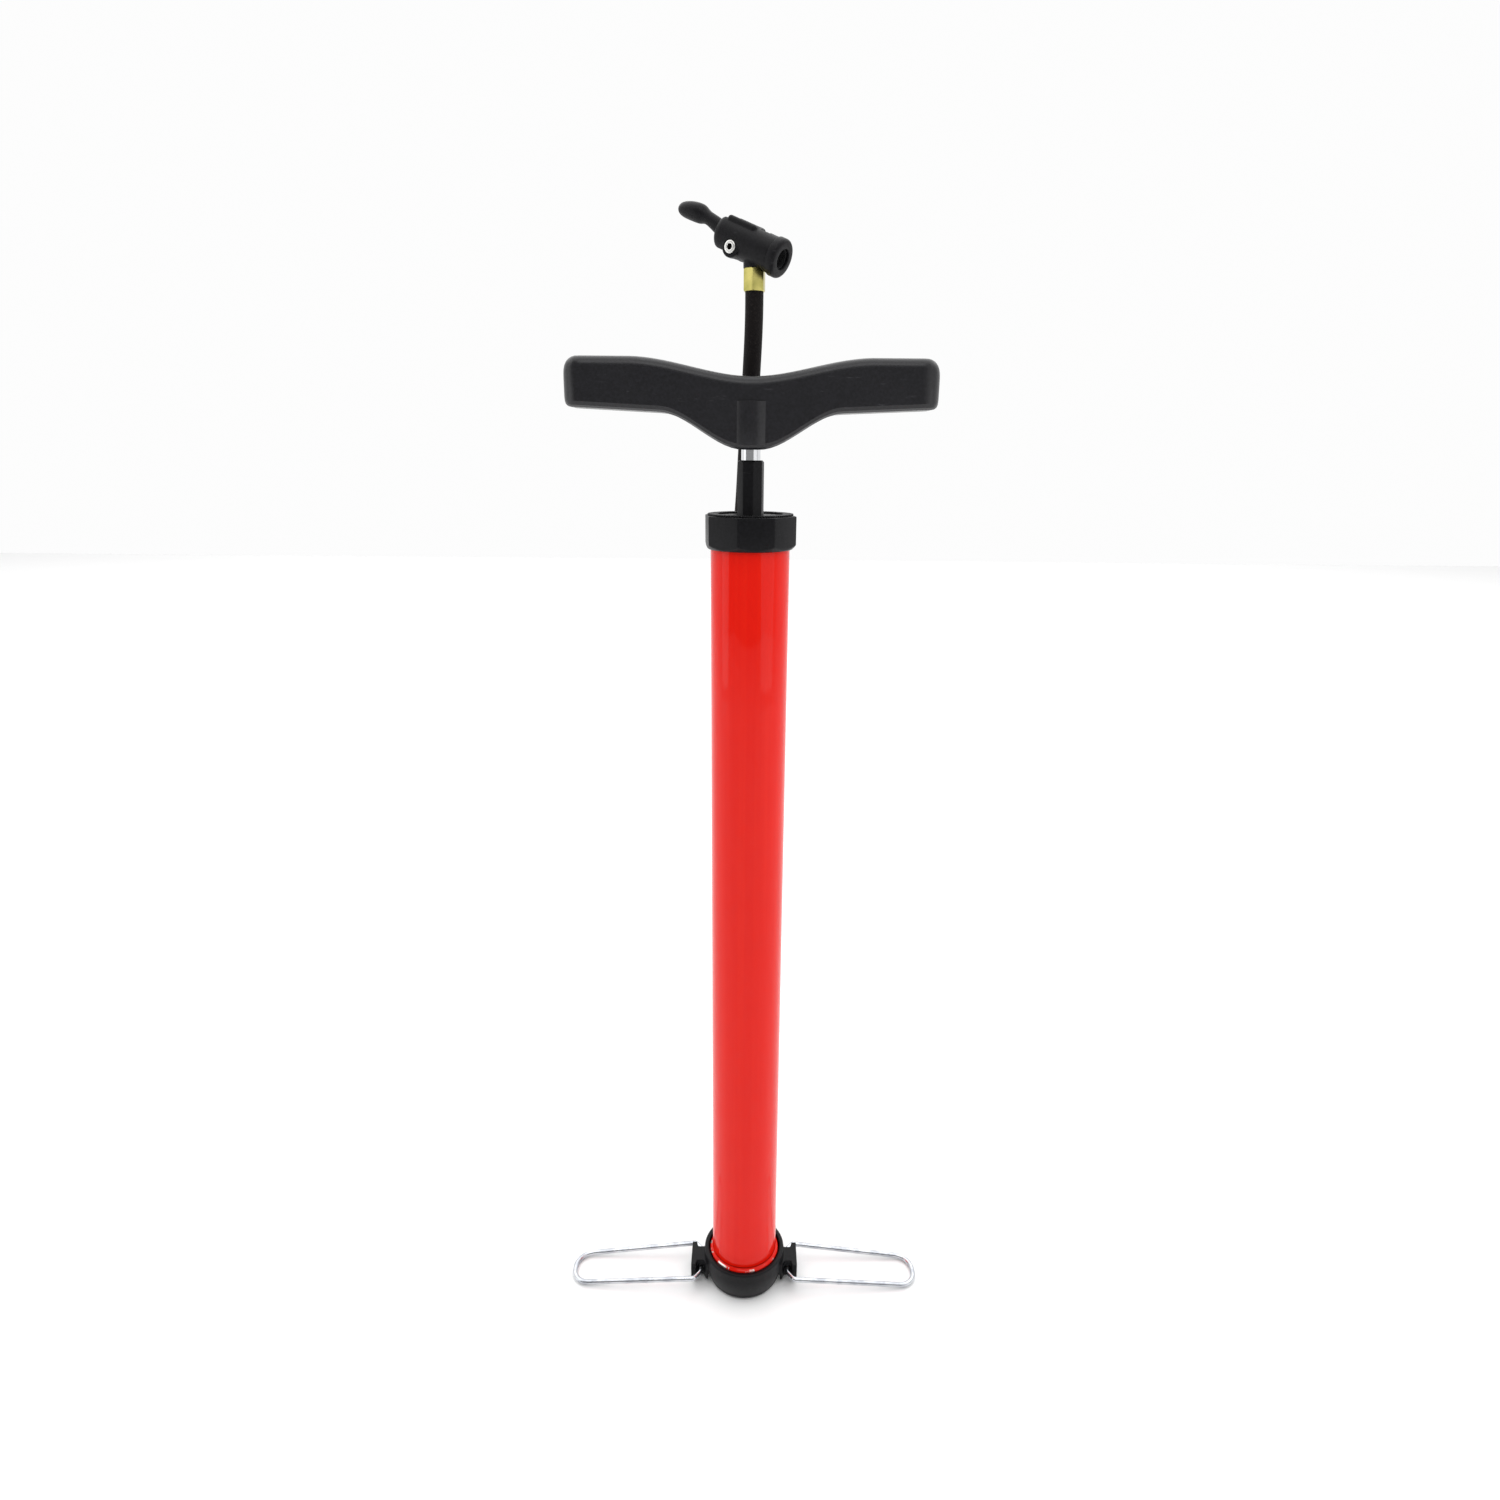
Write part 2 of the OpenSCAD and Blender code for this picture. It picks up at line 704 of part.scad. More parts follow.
// The lever's side view, from its pin: a waist, then an oval paddle
module lever() {
    color("#1b1b1e")
    at_head() translate([pin_x, 0, pin_z]) difference() {
        union() {
            across_head(0, 0, slot_w / 2 - clear, hub_r);
            translate([0, slot_w / 2 - 0.8, 0]) rotate([90, 0, 0])
                linear_extrude(height = slot_w - 1.6) polygon([
                    [-1.2, 4.2], [-3.6, -2.4], [-12, 1.2], [-lever_len * 0.62, 5.4],
                    [-lever_len * 0.62, 9.2], [-12, 8.2]
                ]);
            hull() {
                translate([-lever_len * 0.64, 0, 7.4]) sphere(r = 3.6, $fn = 32);
                translate([-lever_len * 0.76, 0, 7.2]) sphere(r = 4.4, $fn = 32);
                translate([-lever_len + 2.5, 0, 5.8]) sphere(r = 2.5, $fn = 32);
            }
        }
        across_head(0, 0, slot_w, pin_d / 2 + run_gap);
    }
}

module lever_pin() {
    head_t = 0.8;
    color("#dcdcd8")
    at_head() translate([pin_x, 0, pin_z]) difference() {
        union() {
            across_head(0, 0, hub_boss_out + head_t, pin_d / 2);
            for (side = [-1, 1]) translate([0, side * (hub_boss_out + head_t / 2), 0])
                rotate([90, 0, 0]) cylinder(h = head_t, r = rivet_r, center = true);
        }
        for (side = [-1, 1]) translate([0, side * (hub_boss_out + head_t), 0])
            rotate([90, 0, 0]) cylinder(h = 3, r = pin_d / 2 - 0.4, center = true);
    }
}

barrel();
foot_base();
barrel_gasket();
top_cap();
guide_collar();
piston_rod();
rod_stud();
rod_buffer();
piston_top_washer();
piston_cup_seal();
piston_bottom_washer();
piston_nut();
handle();
handle_nut();
left_stirrup();
right_stirrup();
outlet_nipple();
check_ball();
base_ferrule();
hose();
hose_nut();
chuck_body();
chuck_collar();
chuck_grommet();
chuck_plunger();
lever();
lever_pin();
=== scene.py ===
# %% [markdown]
# # A bicycle floor pump
# The pump's frame comes from CAD: every part is loaded at its real size and place, in metres,
# with +Z up and the front towards -Y. This lesson gives each part its look. Parts whose CAD
# shape is plain get a new piece with rounded edges, ribs, crimps and rolled rims, and every
# surface gets a finish of its own.

# %% Load the frame
from math import asin, cos, pi, radians, sin, sqrt, tan

import bmesh
import bpy
from mathutils import Matrix, Vector


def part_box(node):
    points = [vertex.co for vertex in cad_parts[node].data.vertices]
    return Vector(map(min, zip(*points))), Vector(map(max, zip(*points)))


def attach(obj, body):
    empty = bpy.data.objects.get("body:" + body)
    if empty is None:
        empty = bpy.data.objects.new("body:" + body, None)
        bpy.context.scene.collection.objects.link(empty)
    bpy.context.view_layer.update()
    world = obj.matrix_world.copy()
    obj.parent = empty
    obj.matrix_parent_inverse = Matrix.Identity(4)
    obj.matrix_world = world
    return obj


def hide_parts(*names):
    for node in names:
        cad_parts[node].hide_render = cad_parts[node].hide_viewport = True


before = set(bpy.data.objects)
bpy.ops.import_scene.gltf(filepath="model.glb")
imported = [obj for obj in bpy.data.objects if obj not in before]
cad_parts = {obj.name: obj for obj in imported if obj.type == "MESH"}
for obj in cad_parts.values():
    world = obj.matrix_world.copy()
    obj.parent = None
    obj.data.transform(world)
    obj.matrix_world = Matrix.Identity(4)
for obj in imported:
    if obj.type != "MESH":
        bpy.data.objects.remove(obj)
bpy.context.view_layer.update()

MM = 0.001

# %% [markdown]
# ## The camera
# The pump stands on the floor and is looked at from the height of the handle's foot, close by,
# with a wide lens. That is why the handle is seen level while the cup is seen from above. The
# camera is turned by a matrix: first down from straight ahead, then a little round its own axis.

# %% Camera
EYE = Vector((0.8, -467.1, 483.8)) * MM
LOOK_DOWN = radians(17.43)
ROLL = radians(0.52)

camera = bpy.data.objects.new("camera", bpy.data.cameras.new("camera"))
camera.data.lens = 22.97
camera.data.sensor_width = 36
camera.data.clip_start = 0.01
camera.matrix_world = (
    Matrix.Translation(EYE)
    @ Matrix.Rotation(pi / 2 - LOOK_DOWN, 4, "X")
    @ Matrix.Rotation(ROLL, 4, "Z")
)
bpy.context.scene.collection.objects.link(camera)
bpy.context.scene.camera = camera
print("camera at", [round(v, 3) for v in camera.location])

# %% [markdown]
# ## The hose
# The hose leaves the cup's outlet at the back, bends up, rises behind the barrel, passes the
# clip on the cap and stands up behind the handle. A Bezier curve through the route's points
# gives it one smooth line. It is then made a mesh, because the mesh carries a UV map with which
# the woven cover of the hose can follow its bends.

# %% Hose along its route
HOSE_D = 8.7 * MM
HOSE_ROUTE = [
    (0, 38, 22), (0, 42, 26), (0, 46, 30), (0, 50.5, 35.3), (0, 54.2, 41.3),
    (0, 57, 48), (0, 58.6, 55), (-0.1, 59.2, 62), (-0.4, 59.2, 76),
    (-1, 58, 96), (-2, 56, 122), (-3, 53, 155), (-4, 49.3, 195),
    (-5, 45.2, 235), (-5.7, 41.2, 275), (-6, 37.4, 315), (-6, 34, 355),
    (-5.6, 31.4, 393), (-4.9, 30.2, 425), (-4.2, 30, 446), (-3.1, 30, 463),
    (-2.2, 30, 481), (-1.1, 30, 502), (0.1, 30, 524), (0.7, 30, 538),
    (0.9, 30, 548), (0.9, 30, 555),
]
HOSE_ROUTE = [Vector(point) * MM for point in HOSE_ROUTE]
SAME_PLACE = 0.002 * MM


def settled():
    """Leaves edit mode and deselects everything, so that the next operator starts clean."""
    if bpy.context.object and bpy.context.object.mode != "OBJECT":
        bpy.ops.object.mode_set(mode="OBJECT")
    bpy.ops.object.select_all(action="DESELECT")


def active(obj):
    """Makes this the only selected object, and the active one."""
    settled()
    obj.select_set(True)
    bpy.context.view_layer.objects.active = obj


def editing(obj):
    """Makes this the active object and opens it in edit mode."""
    active(obj)
    bpy.ops.object.mode_set(mode="EDIT")


def tube_along(points, diameter, around=6, along=6):
    """A round tube through the points, as a mesh whose UV map runs along it by true length."""
    line = bpy.data.curves.new("tube", "CURVE")
    line.dimensions = "3D"
    line.bevel_depth = diameter / 2
    line.bevel_resolution = around
    line.resolution_u = along
    line.use_fill_caps = True
    spline = line.splines.new("BEZIER")
    spline.bezier_points.add(len(points) - 1)
    for knot, point in zip(spline.bezier_points, points):
        knot.co = point
        knot.handle_left_type = knot.handle_right_type = "AUTO"
    tube = bpy.data.objects.new("tube", line)
    bpy.context.scene.collection.objects.link(tube)
    active(tube)
    bpy.ops.object.convert(target="MESH")
    tube = bpy.context.object
    ring, rings = 4 + 2 * around, along * (len(points) - 1) + 1
    corners = [vertex.co for vertex in tube.data.vertices][-ring * rings:]
    middles = [sum(corners[i * ring:(i + 1) * ring], Vector()) / ring for i in range(rings)]
    reached = [0.0]
    for here, there in zip(middles, middles[1:]):
        reached.append(reached[-1] + (there - here).length)
    for corner in tube.data.uv_layers[0].data:
        corner.uv.x = reached[round(corner.uv.x * (rings - 1))] / reached[-1]
    editing(tube)
    bpy.ops.mesh.select_all(action="SELECT")
    bpy.ops.mesh.remove_doubles(threshold=SAME_PLACE)
    bpy.ops.mesh.normals_make_consistent(inside=False)
    settled()
    print(f"a tube of {reached[-1]:.4f} m")
    return tube


hose = tube_along(HOSE_ROUTE, HOSE_D, around=8, along=8)

# %% [markdown]
# ## Shader maths as Python
# A finish is a small program on the surface. Wrapping a socket in a class with operators lets
# the program be written as a formula: `1 - wear * 0.5` adds its Math nodes by itself. Every
# other node goes through one method, which takes the node's type, its settings and its inputs.

# %% A finish and its values


class Value:
    """A shader socket that can be used in a Python expression."""

    def __init__(self, finish, socket):
        self.finish, self.socket = finish, socket

    def maths(self, operation, first, second):
        return self.finish.node("ShaderNodeMath", {"operation": operation}, {0: first, 1: second})

    def __add__(self, other):
        return self.maths("ADD", self, other)

    def __sub__(self, other):
        return self.maths("SUBTRACT", self, other)

    def __rsub__(self, other):
        return self.maths("SUBTRACT", other, self)

    def __mul__(self, other):
        return self.maths("MULTIPLY", self, other)

    __radd__, __rmul__ = __add__, __mul__


class Nodes:
    """A tree of shader nodes, with the few that this lesson needs as methods."""

    def __init__(self, tree):
        self.tree = tree

    def node(self, kind, settings=None, inputs=None, output=0):
        made = self.tree.nodes.new(kind)
        for setting, value in (settings or {}).items():
            setattr(made, setting, value)
        for socket, value in (inputs or {}).items():
            self.put(made.inputs[socket], value)
        return Value(self, made.outputs[output])

    def put(self, socket, value):
        if isinstance(value, Value):
            self.tree.links.new(value.socket, socket)
        else:
            socket.default_value = value

    def vector(self, operation, first, second=(0, 0, 0)):
        return self.node("ShaderNodeVectorMath", {"operation": operation}, {0: first, 1: second})

    def part(self, axis, place=None):
        """The X, Y or Z of a vector, or of the place in millimetres."""
        return self.node("ShaderNodeSeparateXYZ", None, {0: place or self.place}, axis)

    def noise(self, grain, stretch=(1, 1, 1), detail=3.0, place=None):
        """Cloudy noise from 0 to 1, with lumps of about the grain's size in millimetres."""
        where = self.vector("MULTIPLY", place or self.place, stretch)
        return self.node(
            "ShaderNodeTexNoise", None,
            {"Vector": where, "Scale": 1 / grain, "Detail": detail, "Roughness": 0.55},
        )

    def step(self, value, low, high):
        """A soft step: 0 below low, 1 above high. With low above high it falls instead."""
        return self.node(
            "ShaderNodeMapRange", {"interpolation_type": "SMOOTHSTEP"},
            {"Value": value, "From Min": low, "From Max": high},
        )

    def mix(self, share, first, second):
        """The first colour, going over to the second as the share goes from 0 to 1."""
        return self.node(
            "ShaderNodeMix", {"data_type": "RGBA"},
            {0: share, 6: (*first, 1) if isinstance(first, tuple) else first,
             7: (*second, 1) if isinstance(second, tuple) else second}, 2,
        )


class Finish(Nodes):
    """One material: a Principled shader, and the place on the object in millimetres."""

    def __init__(self, name, **constants):
        self.material = bpy.data.materials.new(name)
        self.material.use_nodes = True
        super().__init__(self.material.node_tree)
        self.shader = self.tree.nodes["Principled BSDF"]
        place = self.node("ShaderNodeTexCoord", output="Object")
        self.place = self.vector("MULTIPLY", place, (1 / MM,) * 3)
        for socket, value in constants.items():
            self.put(self.shader.inputs[socket.replace("_", " ")], value)

    def bump(self, height, depth):
        """Raises the surface where the height is 1, by the depth in millimetres."""
        normal = self.node(
            "ShaderNodeBump", None, {"Height": height, "Strength": 1.0, "Distance": depth * MM}
        )
        self.put(self.shader.inputs["Normal"], normal)

    def wears(self, colour=None, roughness=None, metallic=None):
        """Links what changes over the surface to the shader."""
        for socket, value in (("Base Color", colour), ("Roughness", roughness),
                              ("Metallic", metallic)):
            if value is not None:
                self.put(self.shader.inputs[socket], value)


# %% [markdown]
# ## The floor and the light
# The pump stands on a pale floor under a very wide soft lamp, with a small lamp high in front and
# a tall one at each side, in a surround that is white behind the pump and grey in front. Enamel,
# chrome and zinc are only as good as what they mirror: the grey front keeps the middle of the
# barrel deep red, the floor turns its foot paler, and the side lamps draw soft long streaks.

# %% Floor and lamps


def plain(name, colour, roughness):
    """A finish with a faint cloudiness and nothing else."""
    finish = Finish(name, Roughness=roughness)
    cloud = finish.noise(90)
    finish.wears(colour=finish.mix(cloud, colour, tuple(0.97 * c for c in colour)))
    return finish.material


FLOOR_WIDTH = 8.0
settled()
bpy.ops.mesh.primitive_plane_add(size=FLOOR_WIDTH)
floor = bpy.context.object
floor.name = "floor"
floor.data.materials.append(plain("pale_floor", (0.93, 0.93, 0.93), 0.6))


def lamp(name, place, aim, size, height, watts):
    """A rectangular soft lamp that faces the point it aims at."""
    light = bpy.data.lights.new(name, "AREA")
    light.shape = "RECTANGLE"
    light.size, light.size_y, light.energy = size, height, watts
    obj = bpy.data.objects.new(name, light)
    obj.location = place
    obj.rotation_mode = "QUATERNION"
    obj.rotation_quaternion = (Vector(aim) - obj.location).to_track_quat("-Z", "Y")
    bpy.context.scene.collection.objects.link(obj)
    return obj


MIDDLE, CAP_PLACE = (0, 0, 0.3), (0, 0, 0.44)
lamp("lamp_above", (0, 1.6, 2.6), (0, 1.6, 0), 7.0, 5.5, 120)
lamp("lamp_front", (0, -0.9, 1.5), CAP_PLACE, 1.0, 0.6, 4.5)
lamp("lamp_right", (1.0, -0.75, 0.72), MIDDLE, 1.0, 1.4, 3.4)
lamp("lamp_left", (-1.3, -0.35, 0.72), MIDDLE, 0.6, 1.4, 2.4)

FRONT_GREY, BACK_WHITE = 0.30, 0.98
GREY_ENDS, WHITE_STARTS = -0.55, 0.15
surround = bpy.data.worlds.new("surround")
surround.use_nodes = True
background = surround.node_tree.nodes["Background"]
sky = Nodes(surround.node_tree)
towards_back = sky.part("Y", sky.node("ShaderNodeTexCoord", output="Generated"))
sky.put(background.inputs["Color"], sky.mix(
    sky.step(towards_back, GREY_ENDS, WHITE_STARTS), (FRONT_GREY,) * 3, (BACK_WHITE,) * 3))
bpy.context.scene.world = surround
bpy.context.scene.view_settings.view_transform = "Standard"

# %% [markdown]
# ## Tools for modelling
# A few helpers do what a hand does in the modelling window: add a primitive and settle its place
# into its mesh, pick vertices or faces by where they are, turn an outline on a lathe, cut one
# solid with another, round the edges, and fuse solids into one moulding.

# %% Adding and picking


def added(primitive, scale=(1, 1, 1), **settings):
    """Adds a primitive and settles its size and place into its mesh."""
    settled()
    primitive(**settings)
    obj = bpy.context.object
    obj.scale = scale
    bpy.ops.object.transform_apply(location=True, rotation=True, scale=True)
    return obj


def pick(kind, test):
    """In edit mode, selects the vertices, edges or faces whose middle passes the test."""
    bpy.ops.mesh.select_mode(type=kind)
    bpy.ops.mesh.select_all(action="DESELECT")
    mesh = bmesh.from_edit_mesh(bpy.context.object.data)
    for part in {"VERT": mesh.verts, "EDGE": mesh.edges, "FACE": mesh.faces}[kind]:
        corners = [part.co] if kind == "VERT" else [v.co for v in part.verts]
        part.select_set(bool(test(sum(corners, Vector()) / len(corners))))
    mesh.select_flush_mode()
    bmesh.update_edit_mesh(bpy.context.object.data)


# %% Turning, cutting, rounding and fusing


def turned(outline, steps=96):
    """Turns an outline of (radius, height) points in millimetres about the Z axis."""
    points = [Vector((radius, 0, height)) * MM for radius, height in outline]
    editing(added(bpy.ops.mesh.primitive_plane_add, size=MM, location=points[0]))
    bpy.ops.mesh.select_mode(type="VERT")
    bpy.ops.mesh.select_all(action="SELECT")
    bpy.ops.mesh.merge(type="CENTER")
    for here, there in zip(points, points[1:]):
        bpy.ops.mesh.extrude_vertices_move(TRANSFORM_OT_translate={"value": there - here})
    bpy.ops.mesh.select_all(action="SELECT")
    bpy.ops.mesh.spin(steps=steps, angle=2 * pi, center=(0, 0, 0), axis=(0, 0, 1))
    bpy.ops.mesh.select_all(action="SELECT")
    bpy.ops.mesh.remove_doubles(threshold=SAME_PLACE)
    bpy.ops.mesh.normals_make_consistent(inside=False)
    settled()
    return bpy.context.object


def arc(centre, radius, start, end, steps=6):
    """Points of an arc in an outline, from one angle to another in degrees."""
    angles = [radians(start + (end - start) * i / steps) for i in range(steps + 1)]
    return [(centre[0] + radius * cos(a), centre[1] + radius * sin(a)) for a in angles]


def modified(obj, kind, **settings):
    """Adds a modifier with these settings and applies it."""
    active(obj)
    bpy.ops.object.modifier_add(type=kind)
    modifier = obj.modifiers[-1]
    for setting, value in settings.items():
        setattr(modifier, setting, value)
    bpy.ops.object.modifier_apply(modifier=modifier.name)
    return obj


def cut(obj, cutter, operation="DIFFERENCE"):
    """Cuts the piece with another, which is used up."""
    modified(obj, "BOOLEAN", object=cutter, operation=operation, solver="EXACT")
    bpy.data.objects.remove(cutter)
    return obj


def rounded(obj, width, segments=3, angle=30):
    """Rounds every edge sharper than the angle."""
    return modified(obj, "BEVEL", width=width * MM, segments=segments,
                    limit_method="ANGLE", angle_limit=radians(angle), use_clamp_overlap=True)


def joined(first, *others):
    """Joins meshes into the first one."""
    active(first)
    for other in others:
        other.select_set(True)
    bpy.ops.object.join()
    return first


def fused(obj, voxel, smoothing=4):
    """Fuses overlapping solids into one skin and softens its edges, as a moulding has them."""
    modified(obj, "REMESH", mode="VOXEL", voxel_size=voxel * MM)
    return modified(obj, "SMOOTH", factor=0.5, iterations=smoothing)


def moved(obj, matrix):
    """Moves a piece and settles its place into its mesh."""
    active(obj)
    obj.matrix_world = matrix @ obj.matrix_world
    bpy.ops.object.transform_apply(location=True, rotation=True, scale=True)
    return obj


def rod(radius, start, end, steps=64):
    """A solid round rod between two points, all in millimetres."""
    start, end = Vector(start) * MM, Vector(end) * MM
    return added(
        bpy.ops.mesh.primitive_cylinder_add, vertices=steps, radius=radius * MM,
        depth=(end - start).length, location=(start + end) / 2,
        rotation=(end - start).to_track_quat("Z", "Y").to_euler(),
    )


def block(low, high):
    """A box between two corners, in millimetres."""
    low, high = Vector(low) * MM, Vector(high) * MM
    return added(bpy.ops.mesh.primitive_cube_add, size=1, location=(low + high) / 2,
                 scale=tuple(high - low))


def shown(obj, name, body, finish, nodes, smooth=30):
    """Names a finished piece, gives it its finish and lets it ride on its body."""
    active(obj)
    obj.name = obj.data.name = name
    obj.data.materials.clear()
    obj.data.materials.append(finish)
    bpy.ops.object.shade_smooth_by_angle(angle=radians(smooth))
    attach(obj, body)
    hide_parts(*nodes)
    print(f"{name}: {len(obj.data.vertices)} vertices")
    return obj


# %% [markdown]
# ## Red enamel
# The barrel is a steel tube in glossy red enamel. Enamel is a coloured layer under a clear one,
# so the shader has a coat. The clear layer isn't quite flat: low waves of a few millimetres make
# the streaks waver. On the bead, the edge of the cup has rubbed the paint away in places, and the
# bare steel glints there. Just above the bead the red is painted darker in a thin band.

# %% Red enamel finish
BEAD_Z = 20.0
DEEP_RED, LIGHT_RED, DRAWN_RED = (0.71, 0.007, 0.002), (0.77, 0.010, 0.003), (0.82, 0.018, 0.005)
DARK_BAND_RED, BARE_STEEL = (0.20, 0.004, 0.003), (0.80, 0.78, 0.74)


def red_enamel():
    finish = Finish("red_enamel", Specular_IOR_Level=0.0, Coat_Weight=1.0, Coat_Roughness=0.05,
                    Coat_IOR=1.3)
    height = finish.part("Z")
    drawn = finish.noise(2.2, (1, 1, 0.012))
    cloud = finish.noise(35)
    paint = finish.mix(cloud, DEEP_RED, LIGHT_RED)
    paint = finish.mix(finish.step(drawn, 0.35, 0.75) * 0.25, paint, DRAWN_RED)
    near_bead = finish.step(height, BEAD_Z - 0.3, BEAD_Z + 0.1) * finish.step(
        height, BEAD_Z + 1.3, BEAD_Z + 0.8)
    rubbed = near_bead * finish.step(finish.noise(7, (1, 1, 0.4)), 0.54, 0.60)
    # a thin band of darker red painted round the barrel just above the bead
    dark_band = finish.step(height, BEAD_Z + 1.6, BEAD_Z + 2.0) * finish.step(
        height, BEAD_Z + 2.9, BEAD_Z + 2.3)
    colour = finish.mix(dark_band * 0.7, paint, DARK_BAND_RED)
    finish.wears(
        colour=finish.mix(rubbed, colour, BARE_STEEL),
        roughness=finish.noise(14) * 0.10 + 0.20 + rubbed * 0.1,
        metallic=rubbed,
    )
    finish.bump(finish.noise(5.5, detail=1.0) + finish.noise(0.9) * 0.08, 0.005)
    return finish.material


enamel = red_enamel()
print("enamel:", enamel.name)

# %% [markdown]
# ## The barrel
# A thin tube with a rolled bead near its foot. It is turned on the lathe from one outline that
# runs up the outside, over the rim and down the inside. The bead is one smooth wave, so it meets
# the wall without an edge, and the upper rim is rounded as a cut and deburred tube is.

# %% Barrel with its bead
BARREL_R, BORE_R, FIT = 19.0, 18.0, 0.1
BARREL_LOW, BARREL_HIGH = (corner.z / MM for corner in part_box("barrel"))
BEAD_W, BEAD_H, BEAD_STEPS, RIM_R = 1.5, 4.0, 24, 0.5

bead = [
    (BARREL_R + BEAD_W * (1 - cos(2 * pi * i / BEAD_STEPS)) / 2,
     BEAD_Z + BEAD_H * (i / BEAD_STEPS - 0.5))
    for i in range(BEAD_STEPS + 1)
]
outside = [(BARREL_R, BARREL_LOW)] + bead + [(BARREL_R, z) for z in (60, 160, 260, 360)]
rim = arc((BARREL_R - RIM_R, BARREL_HIGH - RIM_R), RIM_R, 0, 180)
barrel = turned(outside + rim + [(BORE_R, BARREL_LOW), (BARREL_R, BARREL_LOW)], steps=160)
shown(barrel, "barrel_tube", "pump", enamel, ["barrel"], smooth=40)

# %% [markdown]
# ## Black plastics
# The cup, the cap and the collar are moulded in black plastic with a fine spark-eroded grain.
# The handle is the same kind of plastic but smoother, with small scuffs where hands and shipping
# have rubbed it. The valve head is duller.

# %% Black plastic finishes


def moulded(name, colour, gloss, grain, scuffs, shine=0.35):
    """Moulded plastic: a grain, a mottled colour, slow changes of gloss, and fine pale scuffs."""
    finish = Finish(name, Specular_IOR_Level=shine)
    cloud = finish.noise(16)
    fine = finish.noise(grain, detail=2.0)
    long = finish.noise(1.6, (0.25, 1, 1.6), detail=6.0)
    scuff = finish.step(long, 0.62, 0.74) * finish.step(finish.noise(9), 0.45, 0.65) * scuffs
    pale = tuple(min(1, c * 5 + 0.05) for c in colour)
    mottle = finish.mix(
        finish.step(finish.noise(1.3), 0.3, 0.7), tuple(c * 0.6 for c in colour),
        tuple(c * 1.5 for c in colour))
    finish.wears(
        colour=finish.mix(scuff, finish.mix(cloud * 0.5, mottle, colour), pale),
        roughness=gloss + (cloud - 0.5) * 0.12 + (fine - 0.5) * 0.08 + scuff * 0.15,
    )
    finish.bump(fine + scuff * 0.4, 0.02)
    return finish.material


black_plastic = moulded("black_plastic", (0.0045, 0.0044, 0.0054), 0.40, 0.35, 0.25, 0.15)
handle_plastic = moulded("handle_plastic", (0.0070, 0.0068, 0.0088), 0.34, 0.5, 0.7, 0.40)
head_plastic = moulded("head_plastic", (0.0052, 0.0050, 0.0062), 0.46, 0.3, 0.3, 0.16)
print("plastics:", black_plastic.name, handle_plastic.name, head_plastic.name)

# %% [markdown]
# ## The cup
# One moulding: a cup for the barrel, a lug on each side for the stirrups and a boss at the back
# for the outlet. The cup is turned, a lug is a block whose middle is pinched in to a waist, and
# the boss is a rod that leans back, bored for the outlet valve. Fusing them into one skin gives
# the soft inside corners that a moulding has and a stack of solids doesn't.

# %% Cup, lugs and boss
CUP_H, CUP_R, CUP_FOOT_R = 21.0, 24.0, 21.5
CUP_EDGE, SEAT_R, CUP_FLOOR = 3.5, 21.3, 6.0
HINGE = Vector((26.5, 0, 8.5))
WIRE_R, WIRE_FIT = 1.5, 0.12
LUG_LOW, LUG_HIGH, LUG_HALF, WAIST_HALF = 3.0, 14.0, 9.0, 5.5
LUG_IN, LUG_OUT, WAIST_CUTS = 21.8, 32.0, (22.8, 24.6, 28.4, 29.2)
WAIST_IN, WAIST_OUT = 24.5, 28.5
BOSS_R, BOSS_LEN, CHAMBER_R, PASSAGE_R = 6.5, 16.0, 3.9, 1.5
OUTLET = Matrix.Translation(Vector((0, 24, 8)) * MM) @ Matrix.Rotation(radians(-45), 4, "X")
CUP_SWELL_TOP, CUP_RIM, SEAT_Z = CUP_H * 0.72, 0.9, 17.0

swell = [
    (CUP_FOOT_R + (CUP_R - CUP_FOOT_R) * sin(pi / 2 * i / 10),
     CUP_EDGE + (CUP_SWELL_TOP - CUP_EDGE) * i / 10)
    for i in range(1, 11)
]
cup = turned(
    [(0, 0)] + arc((CUP_FOOT_R - CUP_EDGE, CUP_EDGE), CUP_EDGE, -90, 0) + swell
    + arc((CUP_R - CUP_RIM, CUP_H - CUP_RIM), CUP_RIM, 0, 90)
    + [(SEAT_R, CUP_H), (SEAT_R, SEAT_Z), (BARREL_R + FIT, SEAT_Z), (BARREL_R + FIT, CUP_FLOOR),
       (0, CUP_FLOOR)], steps=128)


def lug():
    """The lug on the right: a block with a waist where the wire passes."""
    obj = block((LUG_IN, -LUG_HALF, LUG_LOW), (LUG_OUT, LUG_HALF, LUG_HIGH))
    editing(obj)
    for x in WAIST_CUTS:
        bpy.ops.mesh.select_all(action="SELECT")
        bpy.ops.mesh.bisect(plane_co=(x * MM, 0, 0), plane_no=(1, 0, 0))
    pick("VERT", lambda p: WAIST_IN < p.x / MM < WAIST_OUT)
    bpy.ops.transform.resize(value=(1, WAIST_HALF / LUG_HALF, 1), center_override=(0, 0, 0))
    settled()
    side = (HINGE.x, LUG_HALF + 2, HINGE.z)
    return cut(obj, rod(WIRE_R + WIRE_FIT, (side[0], -side[1], side[2]), side))


def valve_bore():
    """The chamber of the outlet valve, with the passage that leads up to it."""
    chamber = rod(CHAMBER_R, (0, 0, 0), (0, 0, BOSS_LEN + 2))
    return moved(cut(chamber, rod(PASSAGE_R, (0, 0, -6), (0, 0, 1), 32), "UNION"), OUTLET)


